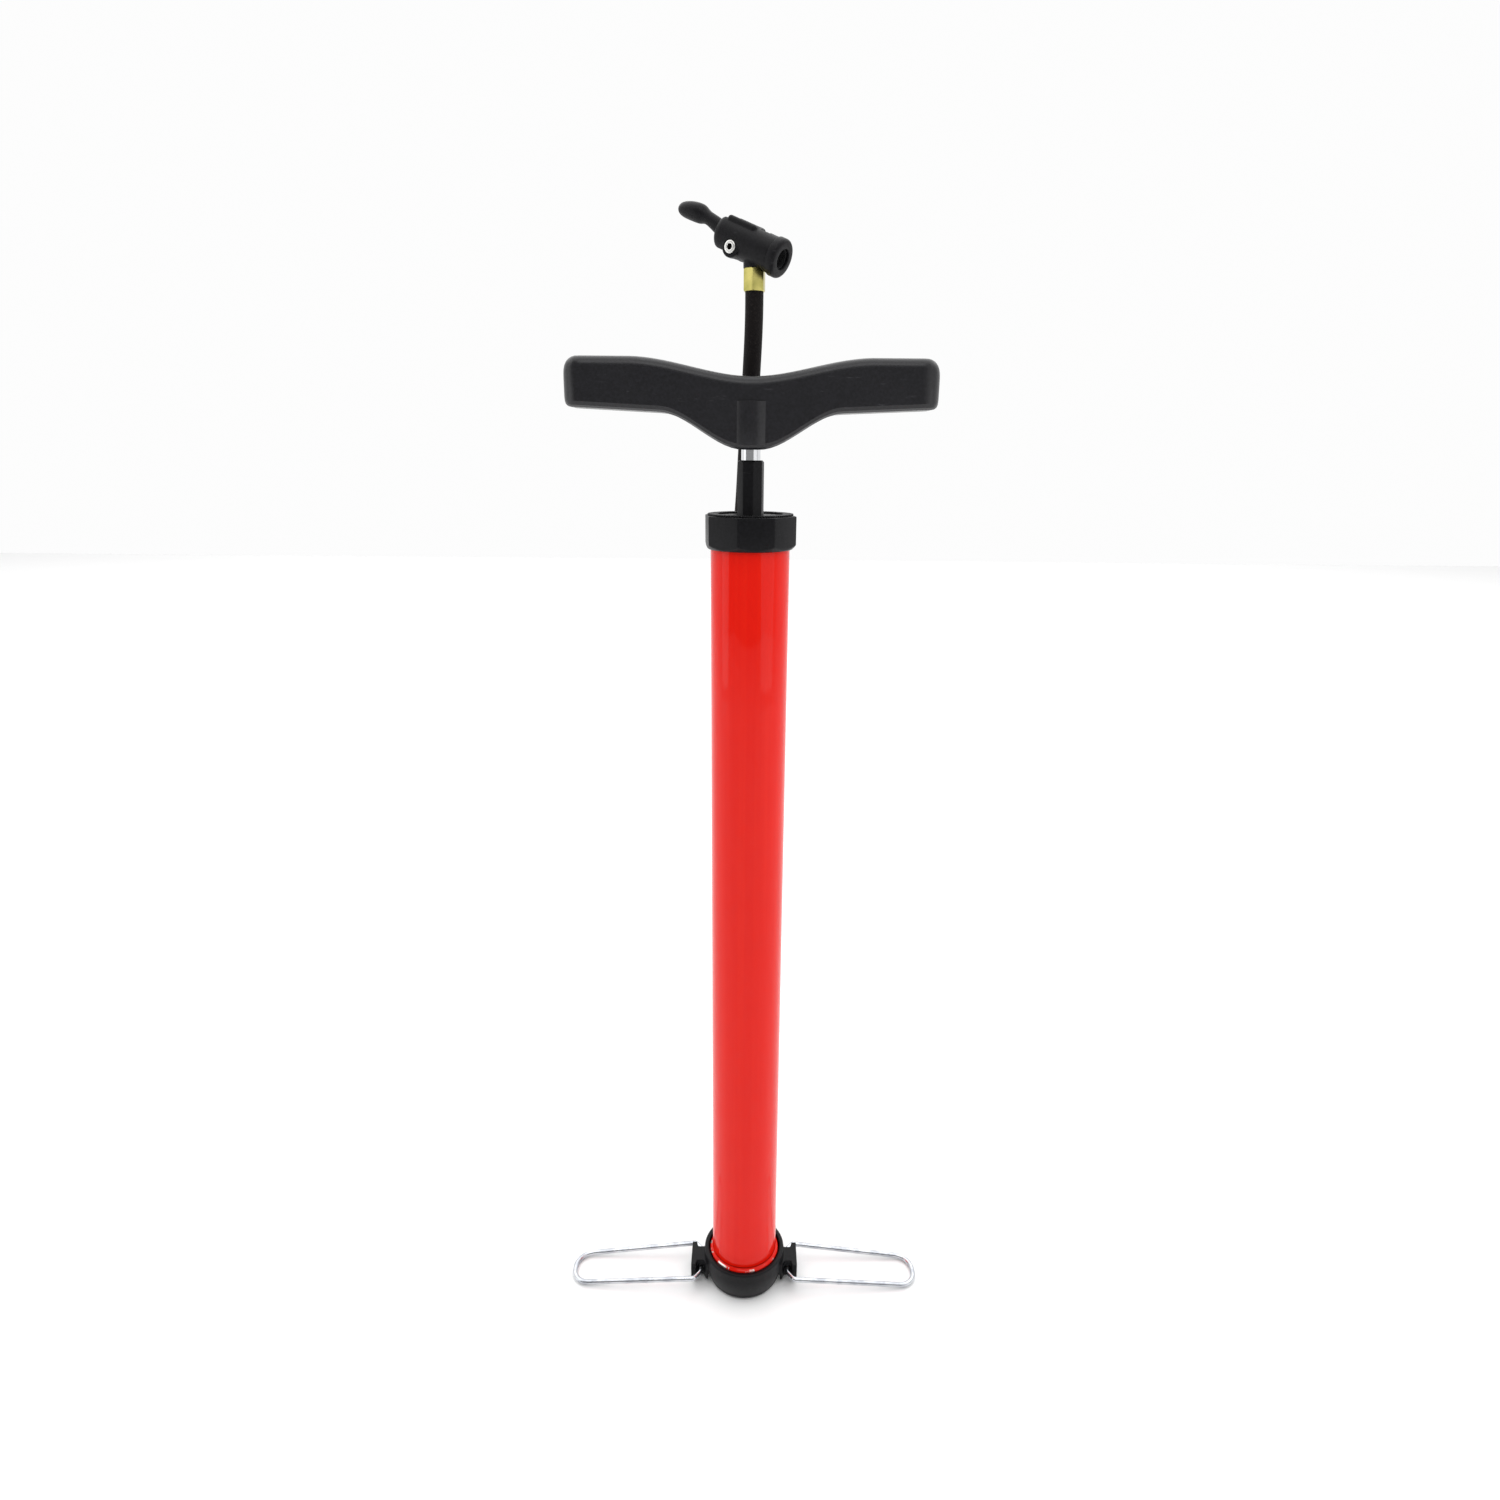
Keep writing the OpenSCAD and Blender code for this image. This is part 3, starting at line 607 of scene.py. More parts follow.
boss = cut(moved(rod(BOSS_R, (0, 0, -2), (0, 0, BOSS_LEN)), OUTLET),
           block((-CUP_R, 0, -20), (CUP_R, CUP_R + 20, 0)))
cut(boss, rod(CUP_FOOT_R, (0, 0, -5), (0, 0, 40)))
cut(boss, valve_bore())
cut(cup, valve_bore())
right_lug, left_lug = lug(), lug()
moved(left_lug, Matrix.Rotation(pi, 4, "Z"))
cup = fused(joined(cup, right_lug, left_lug, boss), voxel=0.40)
shown(cup, "cup_foot", "pump", black_plastic, ["foot_base"], smooth=50)

# %% [markdown]
# ## The cap and its ribs
# The cap is an octagon whose lower edge is turned to a cone, so the flats end in shallow arcs.
# Its top carries a ring of fine ribs that keep a thumb from slipping. One rib is modelled, and a
# spin copies it all round. The hose clip at the back is a ring with a gap, on a short arm.

# %% Cap
CAP_LOW, CAP_TOP = 438.4, 454.0
CAP_R, CAP_TURN, CAP_CHAMFER = 22.5, radians(-14.7), 2.4
COLLAR_R, COLLAR_TURN, COLLAR_TOP = 6.33, radians(-35), 479.0
BARREL_TOP = 449.5

cap = added(bpy.ops.mesh.primitive_cylinder_add, vertices=8, radius=CAP_R * MM,
            depth=(CAP_TOP - CAP_LOW) * MM, location=(0, 0, (CAP_LOW + CAP_TOP) / 2 * MM),
            rotation=(0, 0, CAP_TURN))
cut(cap, turned([(0, CAP_LOW - 1), (CAP_R - CAP_CHAMFER - 1, CAP_LOW - 1),
                 (CAP_R + 1, CAP_LOW + CAP_CHAMFER + 1), (CAP_R + 1, CAP_TOP + 1),
                 (0, CAP_TOP + 1)], steps=128), "INTERSECT")
cut(cap, rod(BARREL_R + FIT, (0, 0, CAP_LOW - 5), (0, 0, BARREL_TOP), 96))
cut(cap, rod(COLLAR_R + FIT, (0, 0, CAP_LOW), (0, 0, CAP_TOP + 5), 96))
rounded(cap, 0.45, angle=12)
print(f"cap without its ribs: {len(cap.data.vertices)} vertices")

# %% Ribs on the cap
RIBS, RIB_IN, RIB_OUT, RIB_UP = 96, 15.6, 20.4, 0.85
RIB_HALF, RIB_SUNK, RIB_EDGE = 0.32, 0.3, 0.15

ribs = block((RIB_IN, -RIB_HALF, CAP_TOP - RIB_SUNK), (RIB_OUT, RIB_HALF, CAP_TOP + RIB_UP))
editing(ribs)
pick("EDGE", lambda p: p.z > CAP_TOP * MM)
bpy.ops.mesh.bevel(offset=RIB_EDGE * MM, segments=2)
bpy.ops.mesh.select_all(action="SELECT")
bpy.ops.mesh.spin(steps=RIBS - 1, dupli=True, angle=2 * pi * (RIBS - 1) / RIBS,
                  center=(0, 0, 0), axis=(0, 0, 1))
settled()
print(f"{RIBS} ribs: {len(ribs.data.vertices)} vertices")

# %% Clip for the hose
CLIP_AT = HOSE_ROUTE[19] / MM
CLIP_R, CLIP_H = HOSE_D / MM / 2 + 2, 9.0
CLIP_LOW = CAP_TOP - (CAP_TOP - CAP_LOW + CLIP_H) / 2
CLIP_HIGH = CLIP_LOW + CLIP_H
CLIP_FIT, CLIP_ARM_HALF, CLIP_GAP_HALF = 0.35, 3.0, 3.2

clip = rod(CLIP_R, (CLIP_AT.x, CLIP_AT.y, CLIP_LOW), (CLIP_AT.x, CLIP_AT.y, CLIP_HIGH))
arm = block((CLIP_AT.x - CLIP_ARM_HALF, CAP_R - 4, CLIP_LOW),
            (CLIP_AT.x + CLIP_ARM_HALF, CLIP_AT.y, CLIP_HIGH))
cut(clip, arm, "UNION")
cut(clip, rod(HOSE_D / MM / 2 + CLIP_FIT, (CLIP_AT.x, CLIP_AT.y, CLIP_LOW - 2),
              (CLIP_AT.x, CLIP_AT.y, CLIP_HIGH + 2)))
cut(clip, block((CLIP_AT.x - CLIP_GAP_HALF, CLIP_AT.y, CLIP_LOW - 2),
                (CLIP_AT.x + CLIP_GAP_HALF, CLIP_AT.y + 9, CLIP_HIGH + 2)))
rounded(clip, 0.4, segments=2, angle=40)
cap = joined(cap, ribs, clip)
shown(cap, "cap_octagon", "pump", black_plastic, ["top_cap"], smooth=25)

# %% [markdown]
# ## The guide collar
# An eight-sided sleeve stands on the cap and guides the rod. It is a cylinder of eight sides
# with a bore, a flange below that the cap holds down, and a small chamfer at its mouth.

# %% Collar
ROD_R, ROD_FIT = 4.5, 0.05
COLLAR_LOW, FLANGE_LOW, FLANGE_OUT = BARREL_TOP - 2, BARREL_TOP - 4, 2.6
collar = added(bpy.ops.mesh.primitive_cylinder_add, vertices=8, radius=COLLAR_R * MM,
               depth=(COLLAR_TOP - COLLAR_LOW) * MM,
               location=(0, 0, (COLLAR_TOP + COLLAR_LOW) / 2 * MM), rotation=(0, 0, COLLAR_TURN))
cut(collar, turned([(0, COLLAR_LOW - 1), (COLLAR_R + 1, COLLAR_LOW - 1),
                    (COLLAR_R + 1, COLLAR_TOP - 1.9), (COLLAR_R - 1.1, COLLAR_TOP + 0.2),
                    (0, COLLAR_TOP + 0.2)], steps=96), "INTERSECT")
cut(collar, rod(COLLAR_R + FLANGE_OUT, (0, 0, FLANGE_LOW), (0, 0, BARREL_TOP), 60), "UNION")
cut(collar, rod(ROD_R + ROD_FIT, (0, 0, BARREL_TOP - 9), (0, 0, COLLAR_TOP + 5), 64))
rounded(collar, 0.28, angle=20)
shown(collar, "rod_collar", "pump", black_plastic, ["guide_collar"], smooth=25)

# %% [markdown]
# ## The handle
# A winged bar whose top dips in the middle and whose foot swells around the rod. Its section is
# drawn once, as a plane with rounded upper corners and chamfered lower ones, and is then pushed
# along the bar station by station. At each station the upper and the lower half of the section
# move by themselves, so the roundings keep their size while the bar gets thinner. The left half
# is a mirror of the right one.

# %% Sizes of the handle
GRIP_END, GRIP_HALF = 85.0, 12.0
HANDLE_LOW, HANDLE_MID_TOP, GRIP_TOP = 483.7, 515.2, 523.2
TOP_ROUND, LOW_ROUND, END_ROUND, UPPER_EDGE, LOWER_EDGE = 7.0, 3.5, 8.0, 4.5, 2.5
DIP_REACH, SWELL_IN, SWELL_OUT, SWELL_UP, GRIP_RISE = 55.25, 4.0, 42.0, 16.0, 2.0


def eased(t):
    t = max(0, min(1, t))
    return t * t * (3 - 2 * t)


def quarter(over, radius):
    """How far a rounding of this radius has pulled in, when it is this far past its start."""
    over = max(0, min(radius, over))
    return radius - sqrt(radius * radius - over * over)


def handle_top(x):
    return (HANDLE_MID_TOP + (GRIP_TOP - HANDLE_MID_TOP) * eased(x / DIP_REACH)
            - quarter(x - (GRIP_END - TOP_ROUND), TOP_ROUND))


def handle_low(x):
    return (HANDLE_LOW + SWELL_UP * eased((x - SWELL_IN) / (SWELL_OUT - SWELL_IN))
            + GRIP_RISE * max(0, x - SWELL_OUT) / (GRIP_END - SWELL_OUT)
            + quarter(x - (GRIP_END - LOW_ROUND), LOW_ROUND))


def handle_half(x):
    """Half the handle's thickness."""
    return GRIP_HALF - quarter(x - (GRIP_END - END_ROUND), END_ROUND)


print("handle, low and high:", [[x, round(handle_low(x), 1), round(handle_top(x), 1)]
                                for x in (0, SWELL_OUT, GRIP_END)])

# %% Handle, pushed out from its middle
SPLIT_Z, NEAR = HANDLE_LOW + 12, 0.01 * MM
stations = [3 * i for i in range(26)] + [77, 79, 80.5, 81.8, 82.8, 83.6, 84.2, 84.7, 85]

grip = added(bpy.ops.mesh.primitive_plane_add, size=1,
             location=(0, 0, (HANDLE_LOW + HANDLE_MID_TOP) / 2 * MM), rotation=(0, pi / 2, 0),
             scale=((HANDLE_MID_TOP - HANDLE_LOW) * MM, 2 * GRIP_HALF * MM, 1))
editing(grip)
pick("VERT", lambda p: p.z > SPLIT_Z * MM)
bpy.ops.mesh.bevel(offset=UPPER_EDGE * MM, segments=7, affect="VERTICES")
pick("VERT", lambda p: p.z < SPLIT_Z * MM)
bpy.ops.mesh.bevel(offset=LOWER_EDGE * MM, segments=2, profile=0.42, affect="VERTICES")
for here, there in zip(stations, stations[1:]):
    pick("FACE", lambda p: abs(p.x - here * MM) < NEAR)
    bpy.ops.mesh.extrude_region_move(
        TRANSFORM_OT_translate={"value": ((there - here) * MM, 0, 0)})
    middle = (handle_low(here) + HANDLE_MID_TOP) / 2
    for upper, edge in ((True, handle_top), (False, handle_low)):
        pick("VERT", lambda p: abs(p.x - there * MM) < NEAR and (p.z > middle * MM) == upper)
        bpy.ops.transform.translate(value=(0, 0, (edge(there) - edge(here)) * MM))
    pick("VERT", lambda p: abs(p.x - there * MM) < NEAR)
    bpy.ops.transform.resize(value=(1, handle_half(there) / handle_half(here), 1),
                             center_override=(0, 0, 0))
pick("FACE", lambda p: abs(p.x) < NEAR)
bpy.ops.mesh.delete(type="ONLY_FACE")
settled()
modified(grip, "MIRROR", use_axis=(True, False, False), merge_threshold=NEAR)
editing(grip)
bpy.ops.mesh.select_all(action="SELECT")
bpy.ops.mesh.normals_make_consistent(inside=False)
settled()
print(f"handle without its rib: {len(grip.data.vertices)} vertices")

# %% Rib at the front of the handle
FRONT_HALF, FRONT_OUT, FRONT_LOW, FRONT_UP = 6.5, 2.0, HANDLE_LOW + 2, 18.8
FRONT_R = (FRONT_HALF ** 2 + FRONT_OUT ** 2) / (2 * FRONT_OUT)

rib_y = -GRIP_HALF - FRONT_OUT + FRONT_R
rib = rod(FRONT_R, (0, rib_y, FRONT_LOW), (0, rib_y, FRONT_LOW + FRONT_UP), 128)
cut(rib, block((-FRONT_HALF, -GRIP_HALF - 5, HANDLE_LOW),
               (FRONT_HALF, -GRIP_HALF + 1, HANDLE_LOW + 40)), "INTERSECT")
rounded(rib, 0.5, segments=4)
grip = joined(grip, rib)
shown(grip, "winged_handle", "piston", handle_plastic, ["handle"], smooth=25)

# %% [markdown]
# ## Metals
# Metals show hardly any colour of their own, only what they mirror, so their finishes live by
# roughness and fine lines. Zinc-plated wire has drawing lines along it and a cloudy bluish plating.
# Chrome on the rod is mirror bright, with fine rings from polishing. Brass is turned, and has
# tarnished a little towards green.

# %% Metal finishes


def metal(name, colour, tarnish, roughness, line, depth):
    """A bare metal with clouds of tarnish and fine lines that run along the given stretch."""
    finish = Finish(name, Metallic=1.0)
    cloud = finish.noise(7)
    lines = finish.noise(0.25, line, detail=2.0)
    finish.wears(
        colour=finish.mix(finish.step(cloud, 0.35, 0.7), colour, tarnish),
        roughness=roughness + (cloud - 0.5) * 0.14 + (lines - 0.5) * 0.10,
    )
    finish.bump(lines, depth)
    return finish.material


zinc = metal("zinc_plate", (0.64, 0.66, 0.69), (0.42, 0.44, 0.48), 0.25, (0.02, 1, 1), 0.006)
chrome = metal("hard_chrome", (0.78, 0.79, 0.80), (0.72, 0.73, 0.75), 0.10, (0.3, 0.3, 2), 0.001)
steel = metal("plain_steel", (0.52, 0.51, 0.49), (0.38, 0.37, 0.35), 0.34, (1, 1, 1), 0.006)
brass = metal("turned_brass", (0.52, 0.46, 0.15), (0.38, 0.35, 0.10), 0.30, (0.15, 0.15, 3), 0.008)
print("metals:", zinc.name, chrome.name, steel.name, brass.name)

# %% [markdown]
# ## The stirrups
# Each stirrup is one length of zinc-plated wire. Its two ends turn towards each other in the lug,
# where they are the hinge, and its far end is a round bend that the foot stands on. The route is a
# list of corners, each rounded to the bending radius, and the tube follows it.

# %% Stirrup wire
STIRRUP_REACH, SHOULDER, TIP_HALF = 77.5, 13.6, 10.8
WIRE_CORNERS = [((0, 1.6), 0), ((0, 9), 2.5), ((4, SHOULDER), 2.5),
                ((STIRRUP_REACH, TIP_HALF), 10), ((STIRRUP_REACH, 0), 0)]
SLOPE = asin((HINGE.z - WIRE_R) / STIRRUP_REACH)


def rounded_route(corners, step=3.0, turns=9):
    """Points along a flat route whose corners are rounded to their radii."""
    route = [Vector(corners[0][0])]
    for (before, _), (corner, radius), (after, _) in zip(corners, corners[1:], corners[2:]):
        corner = Vector(corner)
        a, b = (corner - Vector(before)).normalized(), (Vector(after) - corner).normalized()
        turn = a.angle(b)
        start, end = corner - a * radius * tan(turn / 2), corner + b * radius * tan(turn / 2)
        count = max(1, round((start - route[-1]).length / step))
        route += [route[-1].lerp(start, (i + 1) / count) for i in range(count)]
        centre = (start + end) / 2 + (start + end - 2 * corner).normalized() * (
            radius * cos(turn / 2))
        for i in range(1, turns + 1):
            share = i / turns
            point = (start - centre) * sin((1 - share) * turn) + (end - centre) * sin(share * turn)
            route.append(centre + point / sin(turn))
    count = max(1, round((Vector(corners[-1][0]) - route[-1]).length / step))
    end = Vector(corners[-1][0])
    return route + [route[-1].lerp(end, (i + 1) / count) for i in range(count)]


half = rounded_route(WIRE_CORNERS)
flat = half + [Vector((p.x, -p.y)) for p in reversed(half[:-1])]
for side, name, body, node in ((1, "wire_right", "stirrup_right", "right_stirrup"),
                               (-1, "wire_left", "stirrup_left", "left_stirrup")):
    route = [Vector((side * (HINGE.x + p.x * cos(SLOPE)), p.y, HINGE.z - p.x * sin(SLOPE))) * MM
             for p in flat]
    wire = tube_along(route, 2 * WIRE_R * MM, around=6, along=2)
    shown(wire, name, body, zinc, [node], smooth=40)

# %% [markdown]
# ## The valve head
# The head is modelled lying along X with its mouth towards +X, and is then put in its place as
# one. Its body is a fat tube with a fork at the back for the lever, a rounded ridge on top at each
# side of the lever's slot, a boss at each side for the rivet, a window on top and a short neck
# down to the hose. It is cut from solids and then fused, so that boss and body flow into each
# other as they do in a moulding.

# %% The head's place
HEAD_R, HEAD_BACK, HEAD_FRONT = 8.0, 20.0, 12.0
HOSE_END = HOSE_ROUTE[-1] / MM
NUT_H, NUT_W = 9.9, 9.4
NUT_TOP, HEAD_RISE = HOSE_END.z + NUT_H, 9.3
HEAD_TURN, HEAD_DIP = radians(-29.7), radians(23.75)
HEAD_AT = Vector((HOSE_END.x, HOSE_END.y, NUT_TOP + HEAD_RISE))
HEAD = (Matrix.Translation(HEAD_AT * MM) @ Matrix.Rotation(HEAD_TURN, 4, "Z")
        @ Matrix.Rotation(HEAD_DIP, 4, "Y"))
PIN = Vector((-8.0, 0, -4.0))
SLOT_HALF, CAVITY_R, PIN_R, RIVET_R = 3.9, 6.1, 1.5, 2.9
BOSS_OUT, PIN_BOSS_R = 7.6, 4.6
SLOT_END, CAVITY_END, NUT_ROOM_R = -3, -4, 5.63
RIDGES = (-16, -5.6, 2), (0.5, 5.6, HEAD_R + 0.45)
WINDOW = (1, -2, 6.3), (6, 2, 12)
print("head's middle in mm:", [round(v, 1) for v in HEAD_AT])

# %% Body of the valve head
LIE_ALONG_X = Matrix.Rotation(pi / 2, 4, "Y")

body = moved(turned(
    [(0, -HEAD_BACK)] + arc((HEAD_R - 3.5, 3.5 - HEAD_BACK), 3.5, -90, 0)
    + arc((HEAD_R - 0.5, HEAD_FRONT - 0.5), 0.5, 0, 90) + [(0, HEAD_FRONT)], 96), LIE_ALONG_X)
pin_boss = moved(turned(
    [(0, -BOSS_OUT)] + arc((PIN_BOSS_R - 0.7, 0.7 - BOSS_OUT), 0.7, -90, 0)
    + arc((PIN_BOSS_R - 0.7, BOSS_OUT - 0.7), 0.7, 0, 90) + [(0, BOSS_OUT)], 64),
    Matrix.Translation(PIN * MM) @ Matrix.Rotation(pi / 2, 4, "X"))
cut(body, pin_boss, "UNION")
cut(body, rounded(block(*RIDGES), 1.6, segments=4), "UNION")
cut(body, block((-HEAD_BACK - 2, -SLOT_HALF, -20), (SLOT_END, SLOT_HALF, 20)))
cut(body, rod(CAVITY_R, (CAVITY_END, 0, 0), (HEAD_FRONT + 2, 0, 0)))
cut(body, rod(PIN_R + FIT, (PIN.x, -12, PIN.z), (PIN.x, 12, PIN.z), 32))
for side in (-1, 1):
    cut(body, rod(RIVET_R + 0.4, (PIN.x, side * (BOSS_OUT - 0.04), PIN.z),
                  (PIN.x, side * (BOSS_OUT + 5), PIN.z), 48))
cut(body, block(*WINDOW))
moved(body, HEAD)
neck = rod(NUT_W / 2 + 0.6, (HEAD_AT.x, HEAD_AT.y, NUT_TOP), HEAD_AT)
cut(neck, moved(rod(CAVITY_R + 0.5, (CAVITY_END, 0, 0), (HEAD_FRONT + 2, 0, 0)), HEAD))
cut(neck, moved(block((-HEAD_BACK, -SLOT_HALF, -20), (SLOT_END, SLOT_HALF, 20)), HEAD))
cut(body, rod(NUT_ROOM_R, (HEAD_AT.x, HEAD_AT.y, HOSE_END.z),
              (HEAD_AT.x, HEAD_AT.y, NUT_TOP)))
head = fused(joined(body, neck), voxel=0.26)
shown(head, "head_body", "pump", head_plastic, ["chuck_body"], smooth=60)

# %% Ring at the mouth
MOUTH_R, MOUTH_LEN, MOUTH_HOLE, LIP = 8.6, 4.5, 4.6, 1.4

mouth = turned(
    [(CAVITY_R, HEAD_FRONT)] + arc((MOUTH_R - 0.3, HEAD_FRONT + 0.3), 0.3, -90, 0, 3)
    + [(MOUTH_R, HEAD_FRONT + MOUTH_LEN - 1.9)]
    + arc((MOUTH_R - 1.7, HEAD_FRONT + MOUTH_LEN - 1.7), 1.7, 12, 78, 5)
    + arc((MOUTH_HOLE + 0.4, HEAD_FRONT + MOUTH_LEN - 0.4), 0.4, 90, 180, 4)
    + [(MOUTH_HOLE, HEAD_FRONT + MOUTH_LEN - LIP), (CAVITY_R, HEAD_FRONT + MOUTH_LEN - LIP),
       (CAVITY_R, HEAD_FRONT)], 112)
moved(mouth, HEAD @ LIE_ALONG_X)
shown(mouth, "mouth_ring", "pump", head_plastic, ["chuck_collar"], smooth=35)

# %% [markdown]
# ## The lever
# The lever is a hub between the cheeks of the fork, a waist and an oval paddle for the thumb. It
# starts as a ring of sixteen points inside the hub. The ring is pushed out and stretched again and
# again, and a subdivision surface then smooths the steps to one soft form.

# %% Lever
LEVER_SECTIONS = [  # distance behind the pin, height, half width, half height
    (2, 0.9, 3.2, 3.4), (7, 2.9, 3.2, 3.9), (12, 4.9, 3.2, 3.9), (16.5, 6.1, 3.2, 3.5),
    (20.5, 6.9, 3.2, 3.0), (22.8, 7.3, 3.5, 3.4), (24.6, 7.3, 4.4, 4.4), (28, 7.2, 4.9, 4.5),
    (32, 6.8, 4.8, 4.2), (35.2, 6.3, 4.1, 3.6), (37.4, 6.1, 2.7, 2.6), (38.5, 5.8, 1.2, 1.1),
]
HUB_R, HUB_HALF = 4.4, 3.7


def pushed_out(sections):
    """Pushes a ring through sections that follow each other along -X, and smooths the skin."""
    start = sections[0]
    ring = added(bpy.ops.mesh.primitive_circle_add, vertices=16, radius=MM, fill_type="NGON",
                 location=(-start[0] * MM, 0, start[1] * MM), rotation=(0, pi / 2, 0),
                 scale=(start[3], start[2], 1))
    editing(ring)
    bpy.ops.mesh.select_all(action="SELECT")
    for here, there in zip(sections, sections[1:]):
        bpy.ops.mesh.extrude_region_move(TRANSFORM_OT_translate={
            "value": ((here[0] - there[0]) * MM, 0, (there[1] - here[1]) * MM)})
        bpy.ops.transform.resize(
            value=(1, there[2] / here[2], there[3] / here[3]),
            center_override=(-there[0] * MM, 0, there[1] * MM))
    bpy.ops.mesh.select_all(action="SELECT")
    bpy.ops.mesh.normals_make_consistent(inside=False)
    settled()
    return modified(ring, "SUBSURF", levels=2, render_levels=2)


arm_of_lever = pushed_out(LEVER_SECTIONS)
hub = rod(HUB_R, (0, -HUB_HALF, 0), (0, HUB_HALF, 0), 96)
rounded(hub, 0.3, angle=40)
lever = cut(hub, arm_of_lever, "UNION")
cut(lever, rod(PIN_R + 0.06, (0, -9, 0), (0, 9, 0), 48))
moved(lever, HEAD @ Matrix.Translation(PIN * MM))
shown(lever, "thumb_lever", "head_lever", head_plastic, ["lever"], smooth=35)

# %% [markdown]
# ## The rivet
# A tubular rivet carries the lever. Its shank goes through both cheeks and each end is rolled
# over to a bright ring with a dark hole in the middle, so it is turned as one outline. The finish
# measures how far a point lies from the rivet's axis, and paints shade dark within the hole.

# %% Rivet finish
HEAD_T, HOLE_R, HOLE_DEEP = 0.8, 1.25, 2.6


def nickel_with_painted_hole_shade():
    """Bright nickel, with painted shade in the hole."""
    finish = Finish("nickel_rivet", Metallic=1.0)
    axis = tuple(HEAD.to_3x3() @ Vector((0, 1, 0)))
    out = finish.vector("SUBTRACT", finish.place, tuple(HEAD @ (PIN * MM) / MM))
    along = finish.node("ShaderNodeVectorMath", {"operation": "DOT_PRODUCT"}, {0: out, 1: axis}, 1)
    level = finish.node("ShaderNodeVectorMath", {"operation": "SCALE"}, {0: axis, "Scale": along})
    across = finish.node("ShaderNodeVectorMath", {"operation": "LENGTH"},
                         {0: finish.vector("SUBTRACT", out, level)}, 1)
    # painted shade: inside the hole the nickel is coloured nearly black
    hole = finish.step(across, HOLE_R + 0.12, HOLE_R - 0.02)
    cloud, scratch = finish.noise(3), finish.noise(0.3, detail=4.0)
    bright = finish.mix(cloud, (0.86, 0.86, 0.84), (0.72, 0.71, 0.68))
    finish.wears(colour=finish.mix(hole, bright, (0.045, 0.042, 0.040)),
                 roughness=0.24 + scratch * 0.12 + hole * 0.3)
    finish.bump(scratch, 0.004)
    return finish.material


nickel = nickel_with_painted_hole_shade()
print("rivet:", nickel.name)

# %% Tubular rivet
RIVET_TOP = BOSS_OUT + HEAD_T

upper_end = [
    (0, RIVET_TOP - HOLE_DEEP), (HOLE_R, RIVET_TOP - HOLE_DEEP), (HOLE_R, RIVET_TOP - 0.4)
] + arc((HOLE_R + 0.45, RIVET_TOP - 0.45), 0.45, 180, 90, 5) + [
    (2.0, RIVET_TOP - 0.03)] + arc((RIVET_R - 0.6, RIVET_TOP - 0.6), 0.6, 80, 0, 5) + [
    (RIVET_R, BOSS_OUT), (PIN_R, BOSS_OUT)]
rivet = turned(upper_end + [(r, -h) for r, h in reversed(upper_end)], 72)
moved(rivet, HEAD @ Matrix.Translation(PIN * MM) @ Matrix.Rotation(pi / 2, 4, "X"))
shown(rivet, "tubular_rivet", "pump", nickel, ["lever_pin"], smooth=40)

# %% [markdown]
# ## Nut and crimp
# The hose ends in a brass hexagon, turned to a chamfer at both ends. A new cylinder of six sides
# has its corners 30 degrees from the X axis, so that is taken off its turn. At the foot a zinc
# sleeve is crimped on the hose in three rings.

# %% Brass nut
NUT_R, NUT_TURN = NUT_W / 2 / cos(pi / 6), radians(21 - 30)
nut = added(bpy.ops.mesh.primitive_cylinder_add, vertices=6, radius=NUT_R * MM,
            depth=NUT_H * MM, location=(HOSE_END + Vector((0, 0, NUT_H / 2))) * MM,
            rotation=(0, 0, NUT_TURN))
chamfer = turned([(0, -1), (NUT_R - 1.6, -1), (NUT_R + 0.9, 1.3), (NUT_R + 0.9, NUT_H - 1.3),
                  (NUT_R - 1.6, NUT_H + 1), (0, NUT_H + 1)], 96)
cut(nut, moved(chamfer, Matrix.Translation(HOSE_END * MM)), "INTERSECT")
rounded(nut, 0.22, angle=20)
shown(nut, "brass_nut", "pump", brass, ["hose_nut"], smooth=25)

# %% Crimped sleeve
SLEEVE_LOW, SLEEVE_HIGH, SLEEVE_R, SLEEVE_BORE = 19.9, 31.9, 5.35, 4.45


def crimp(middle, depth=0.45, width=1.3):
    """The outline of one crimped groove, as a smooth dip."""
    return [(SLEEVE_R - depth * (1 + cos(pi * i / 4)) / 2, middle + width * i / 4)
            for i in range(-4, 5)]


sleeve = turned(
    [(SLEEVE_BORE, SLEEVE_LOW)] + arc((SLEEVE_R - 0.3, SLEEVE_LOW + 0.3), 0.3, -90, 0, 3)
    + crimp(22.6) + crimp(25.9) + crimp(29.2)
    + arc((SLEEVE_R - 0.3, SLEEVE_HIGH - 0.3), 0.3, 0, 90, 3)
    + [(SLEEVE_BORE, SLEEVE_HIGH), (SLEEVE_BORE, SLEEVE_LOW)], 72)
moved(sleeve, OUTLET)
shown(sleeve, "crimped_sleeve", "pump", zinc, ["base_ferrule"], smooth=40)

# %% [markdown]
# ## Rubber, leather and white plastic
# The hose has a cover of black textile cords, laid crosswise, with brown dust between them. Its
# UV map runs along the hose in one direction and around it in the other, so two sets of waves
# that cross at a slant make the weave. The inner parts get plain rubber, oiled leather and white
# plastic.

# %% Hose cover
AROUND, TURNS = 15, 30


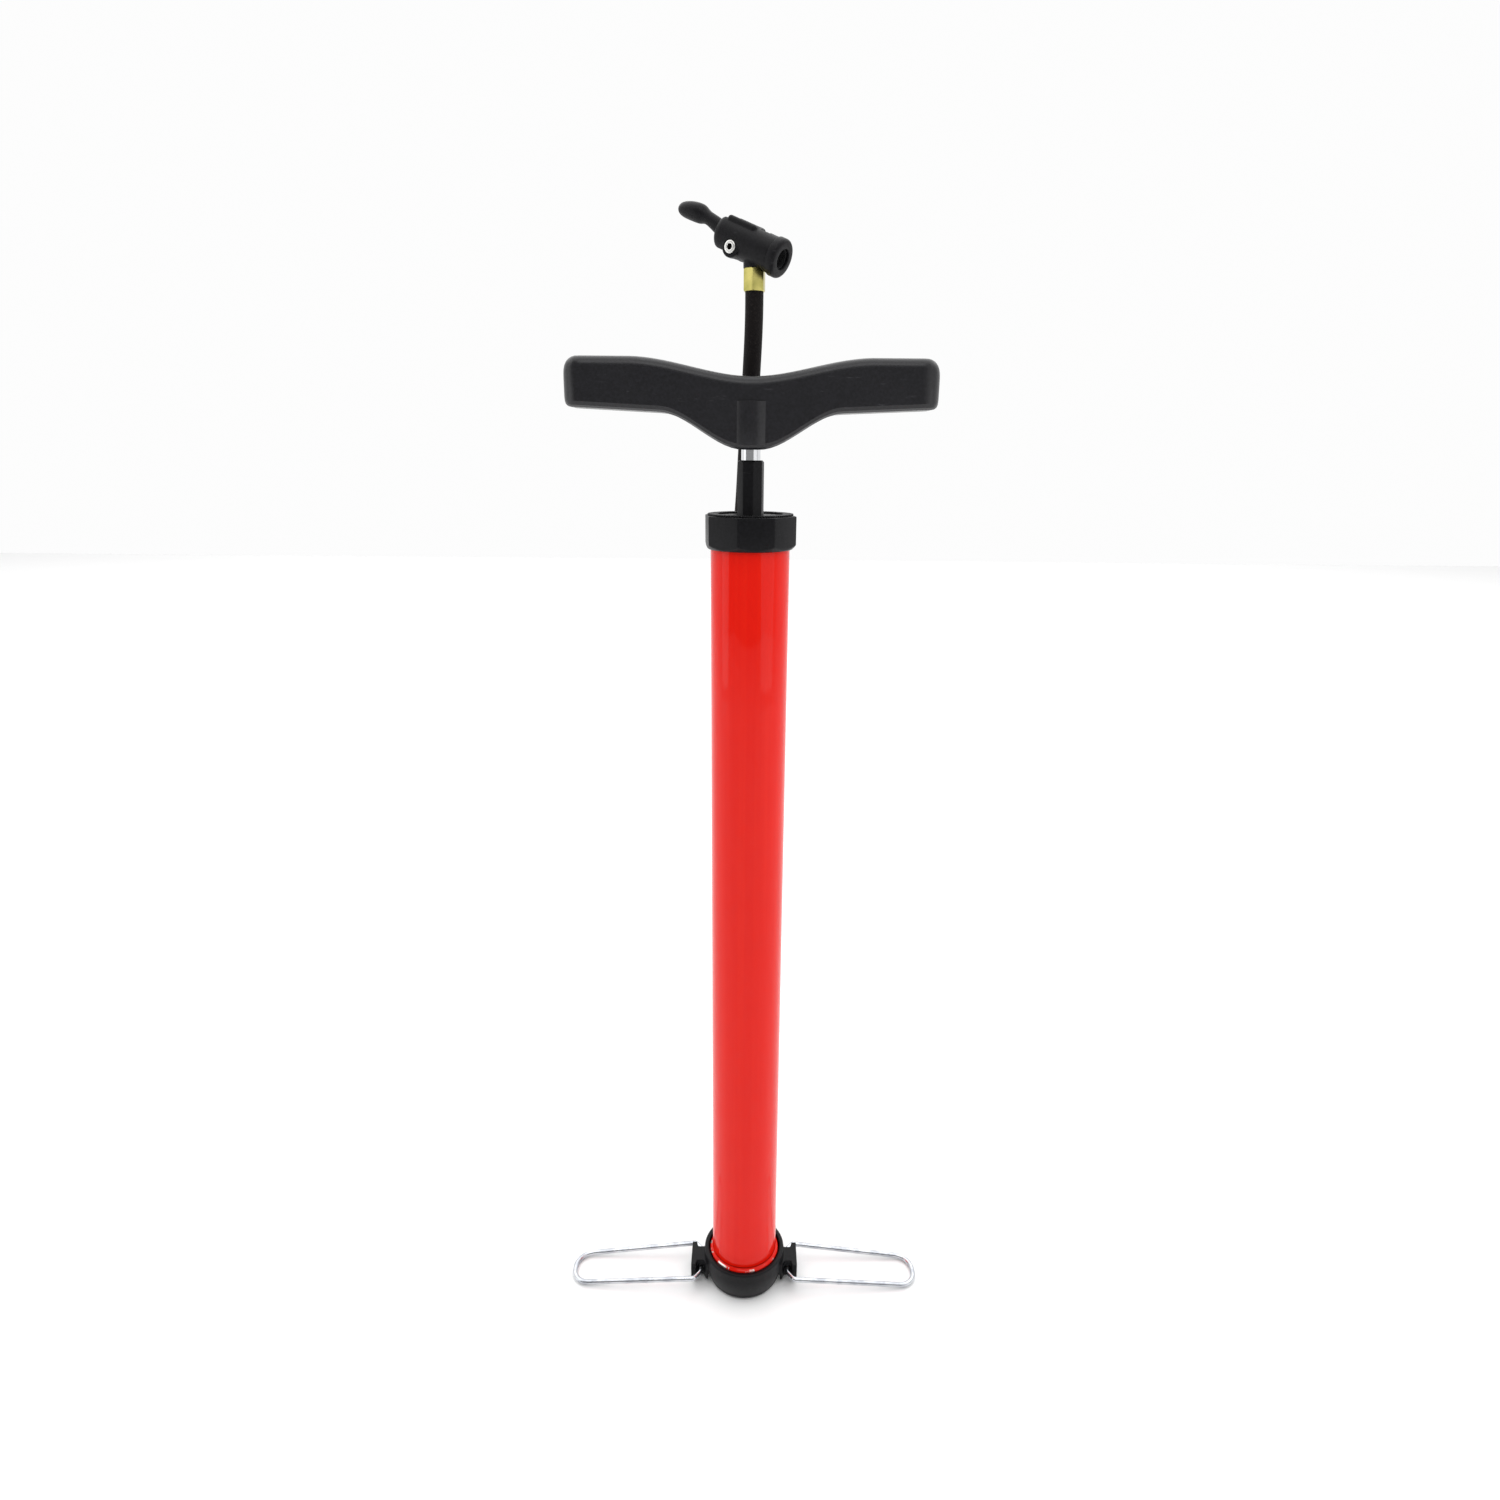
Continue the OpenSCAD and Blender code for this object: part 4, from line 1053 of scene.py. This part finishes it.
def hose_cover():
    finish = Finish("woven_hose", Specular_IOR_Level=0.1)
    uv = finish.node("ShaderNodeTexCoord", output="UV")
    along, around = finish.part("X", uv), finish.part("Y", uv)

    def strands(way):
        phase = (around * AROUND + along * (way * AROUND * TURNS)) * (2 * pi)
        return phase.maths("SINE", phase, 0) * 0.5 + 0.5

    weave = along.maths("MAXIMUM", strands(1), strands(-1))
    lint = finish.noise(0.45, detail=4.0)
    speck = finish.step(lint, 0.56, 0.74)
    valley = finish.mix(finish.noise(12), (0.014, 0.009, 0.008), (0.008, 0.006, 0.006))
    cords = finish.mix(finish.step(weave, 0.45, 0.95), valley, (0.005, 0.0045, 0.005))
    finish.wears(colour=finish.mix(speck * 0.6, cords, (0.08, 0.068, 0.062)),
                 roughness=0.52 + lint * 0.2)
    finish.bump(weave + lint * 0.25, 0.10)
    return finish.material


shown(hose, "woven_hose", "pump", hose_cover(), ["hose"], smooth=60)

# %% Leather, rubber and white plastic


def oiled_leather():
    """Tanned hide, dark with oil, with its fine pores."""
    finish = Finish("oiled_leather", Specular_IOR_Level=0.35)
    cloud, pores = finish.noise(6), finish.noise(0.6, detail=4.0)
    finish.wears(
        colour=finish.mix(cloud, (0.17, 0.075, 0.030), (0.28, 0.13, 0.055)),
        roughness=0.52 + (pores - 0.5) * 0.3,
    )
    finish.bump(pores, 0.05)
    return finish.material


leather = oiled_leather()
rubber = moulded("soft_rubber", (0.016, 0.016, 0.017), 0.62, 0.5, 0.1)
white_plastic = moulded("white_plastic", (0.74, 0.74, 0.71), 0.36, 0.4, 0.0)
print("inner finishes:", leather.name, rubber.name, white_plastic.name)

# %% [markdown]
# ## The inner parts
# The rod, the piston's stack, the nipple, the ball and the parts in the valve head have the right
# shape already, so they stay as CAD made them and only get their finish.

# %% Finishes of the parts that stay
INNER_PARTS = {
    "piston_rod": chrome, "rod_stud": steel, "rod_buffer": rubber, "piston_top_washer": steel,
    "piston_cup_seal": leather, "piston_bottom_washer": steel, "piston_nut": steel,
    "handle_nut": steel, "barrel_gasket": rubber, "outlet_nipple": brass, "check_ball": steel,
    "chuck_grommet": rubber, "chuck_plunger": white_plastic,
}
for name, finish in INNER_PARTS.items():
    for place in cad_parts[name].material_slots:
        place.material = finish
print(len(INNER_PARTS), "parts keep their shape")

# %% [markdown]
# ## The far end of the hose
# The hose is a fixed length of rubber. The last line gathers the pieces that hang on its far end.

# %% Pieces on the hose's far end
([nut, head, mouth, lever, rivet]
    + [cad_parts[name] for name in ("chuck_grommet", "chuck_plunger")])
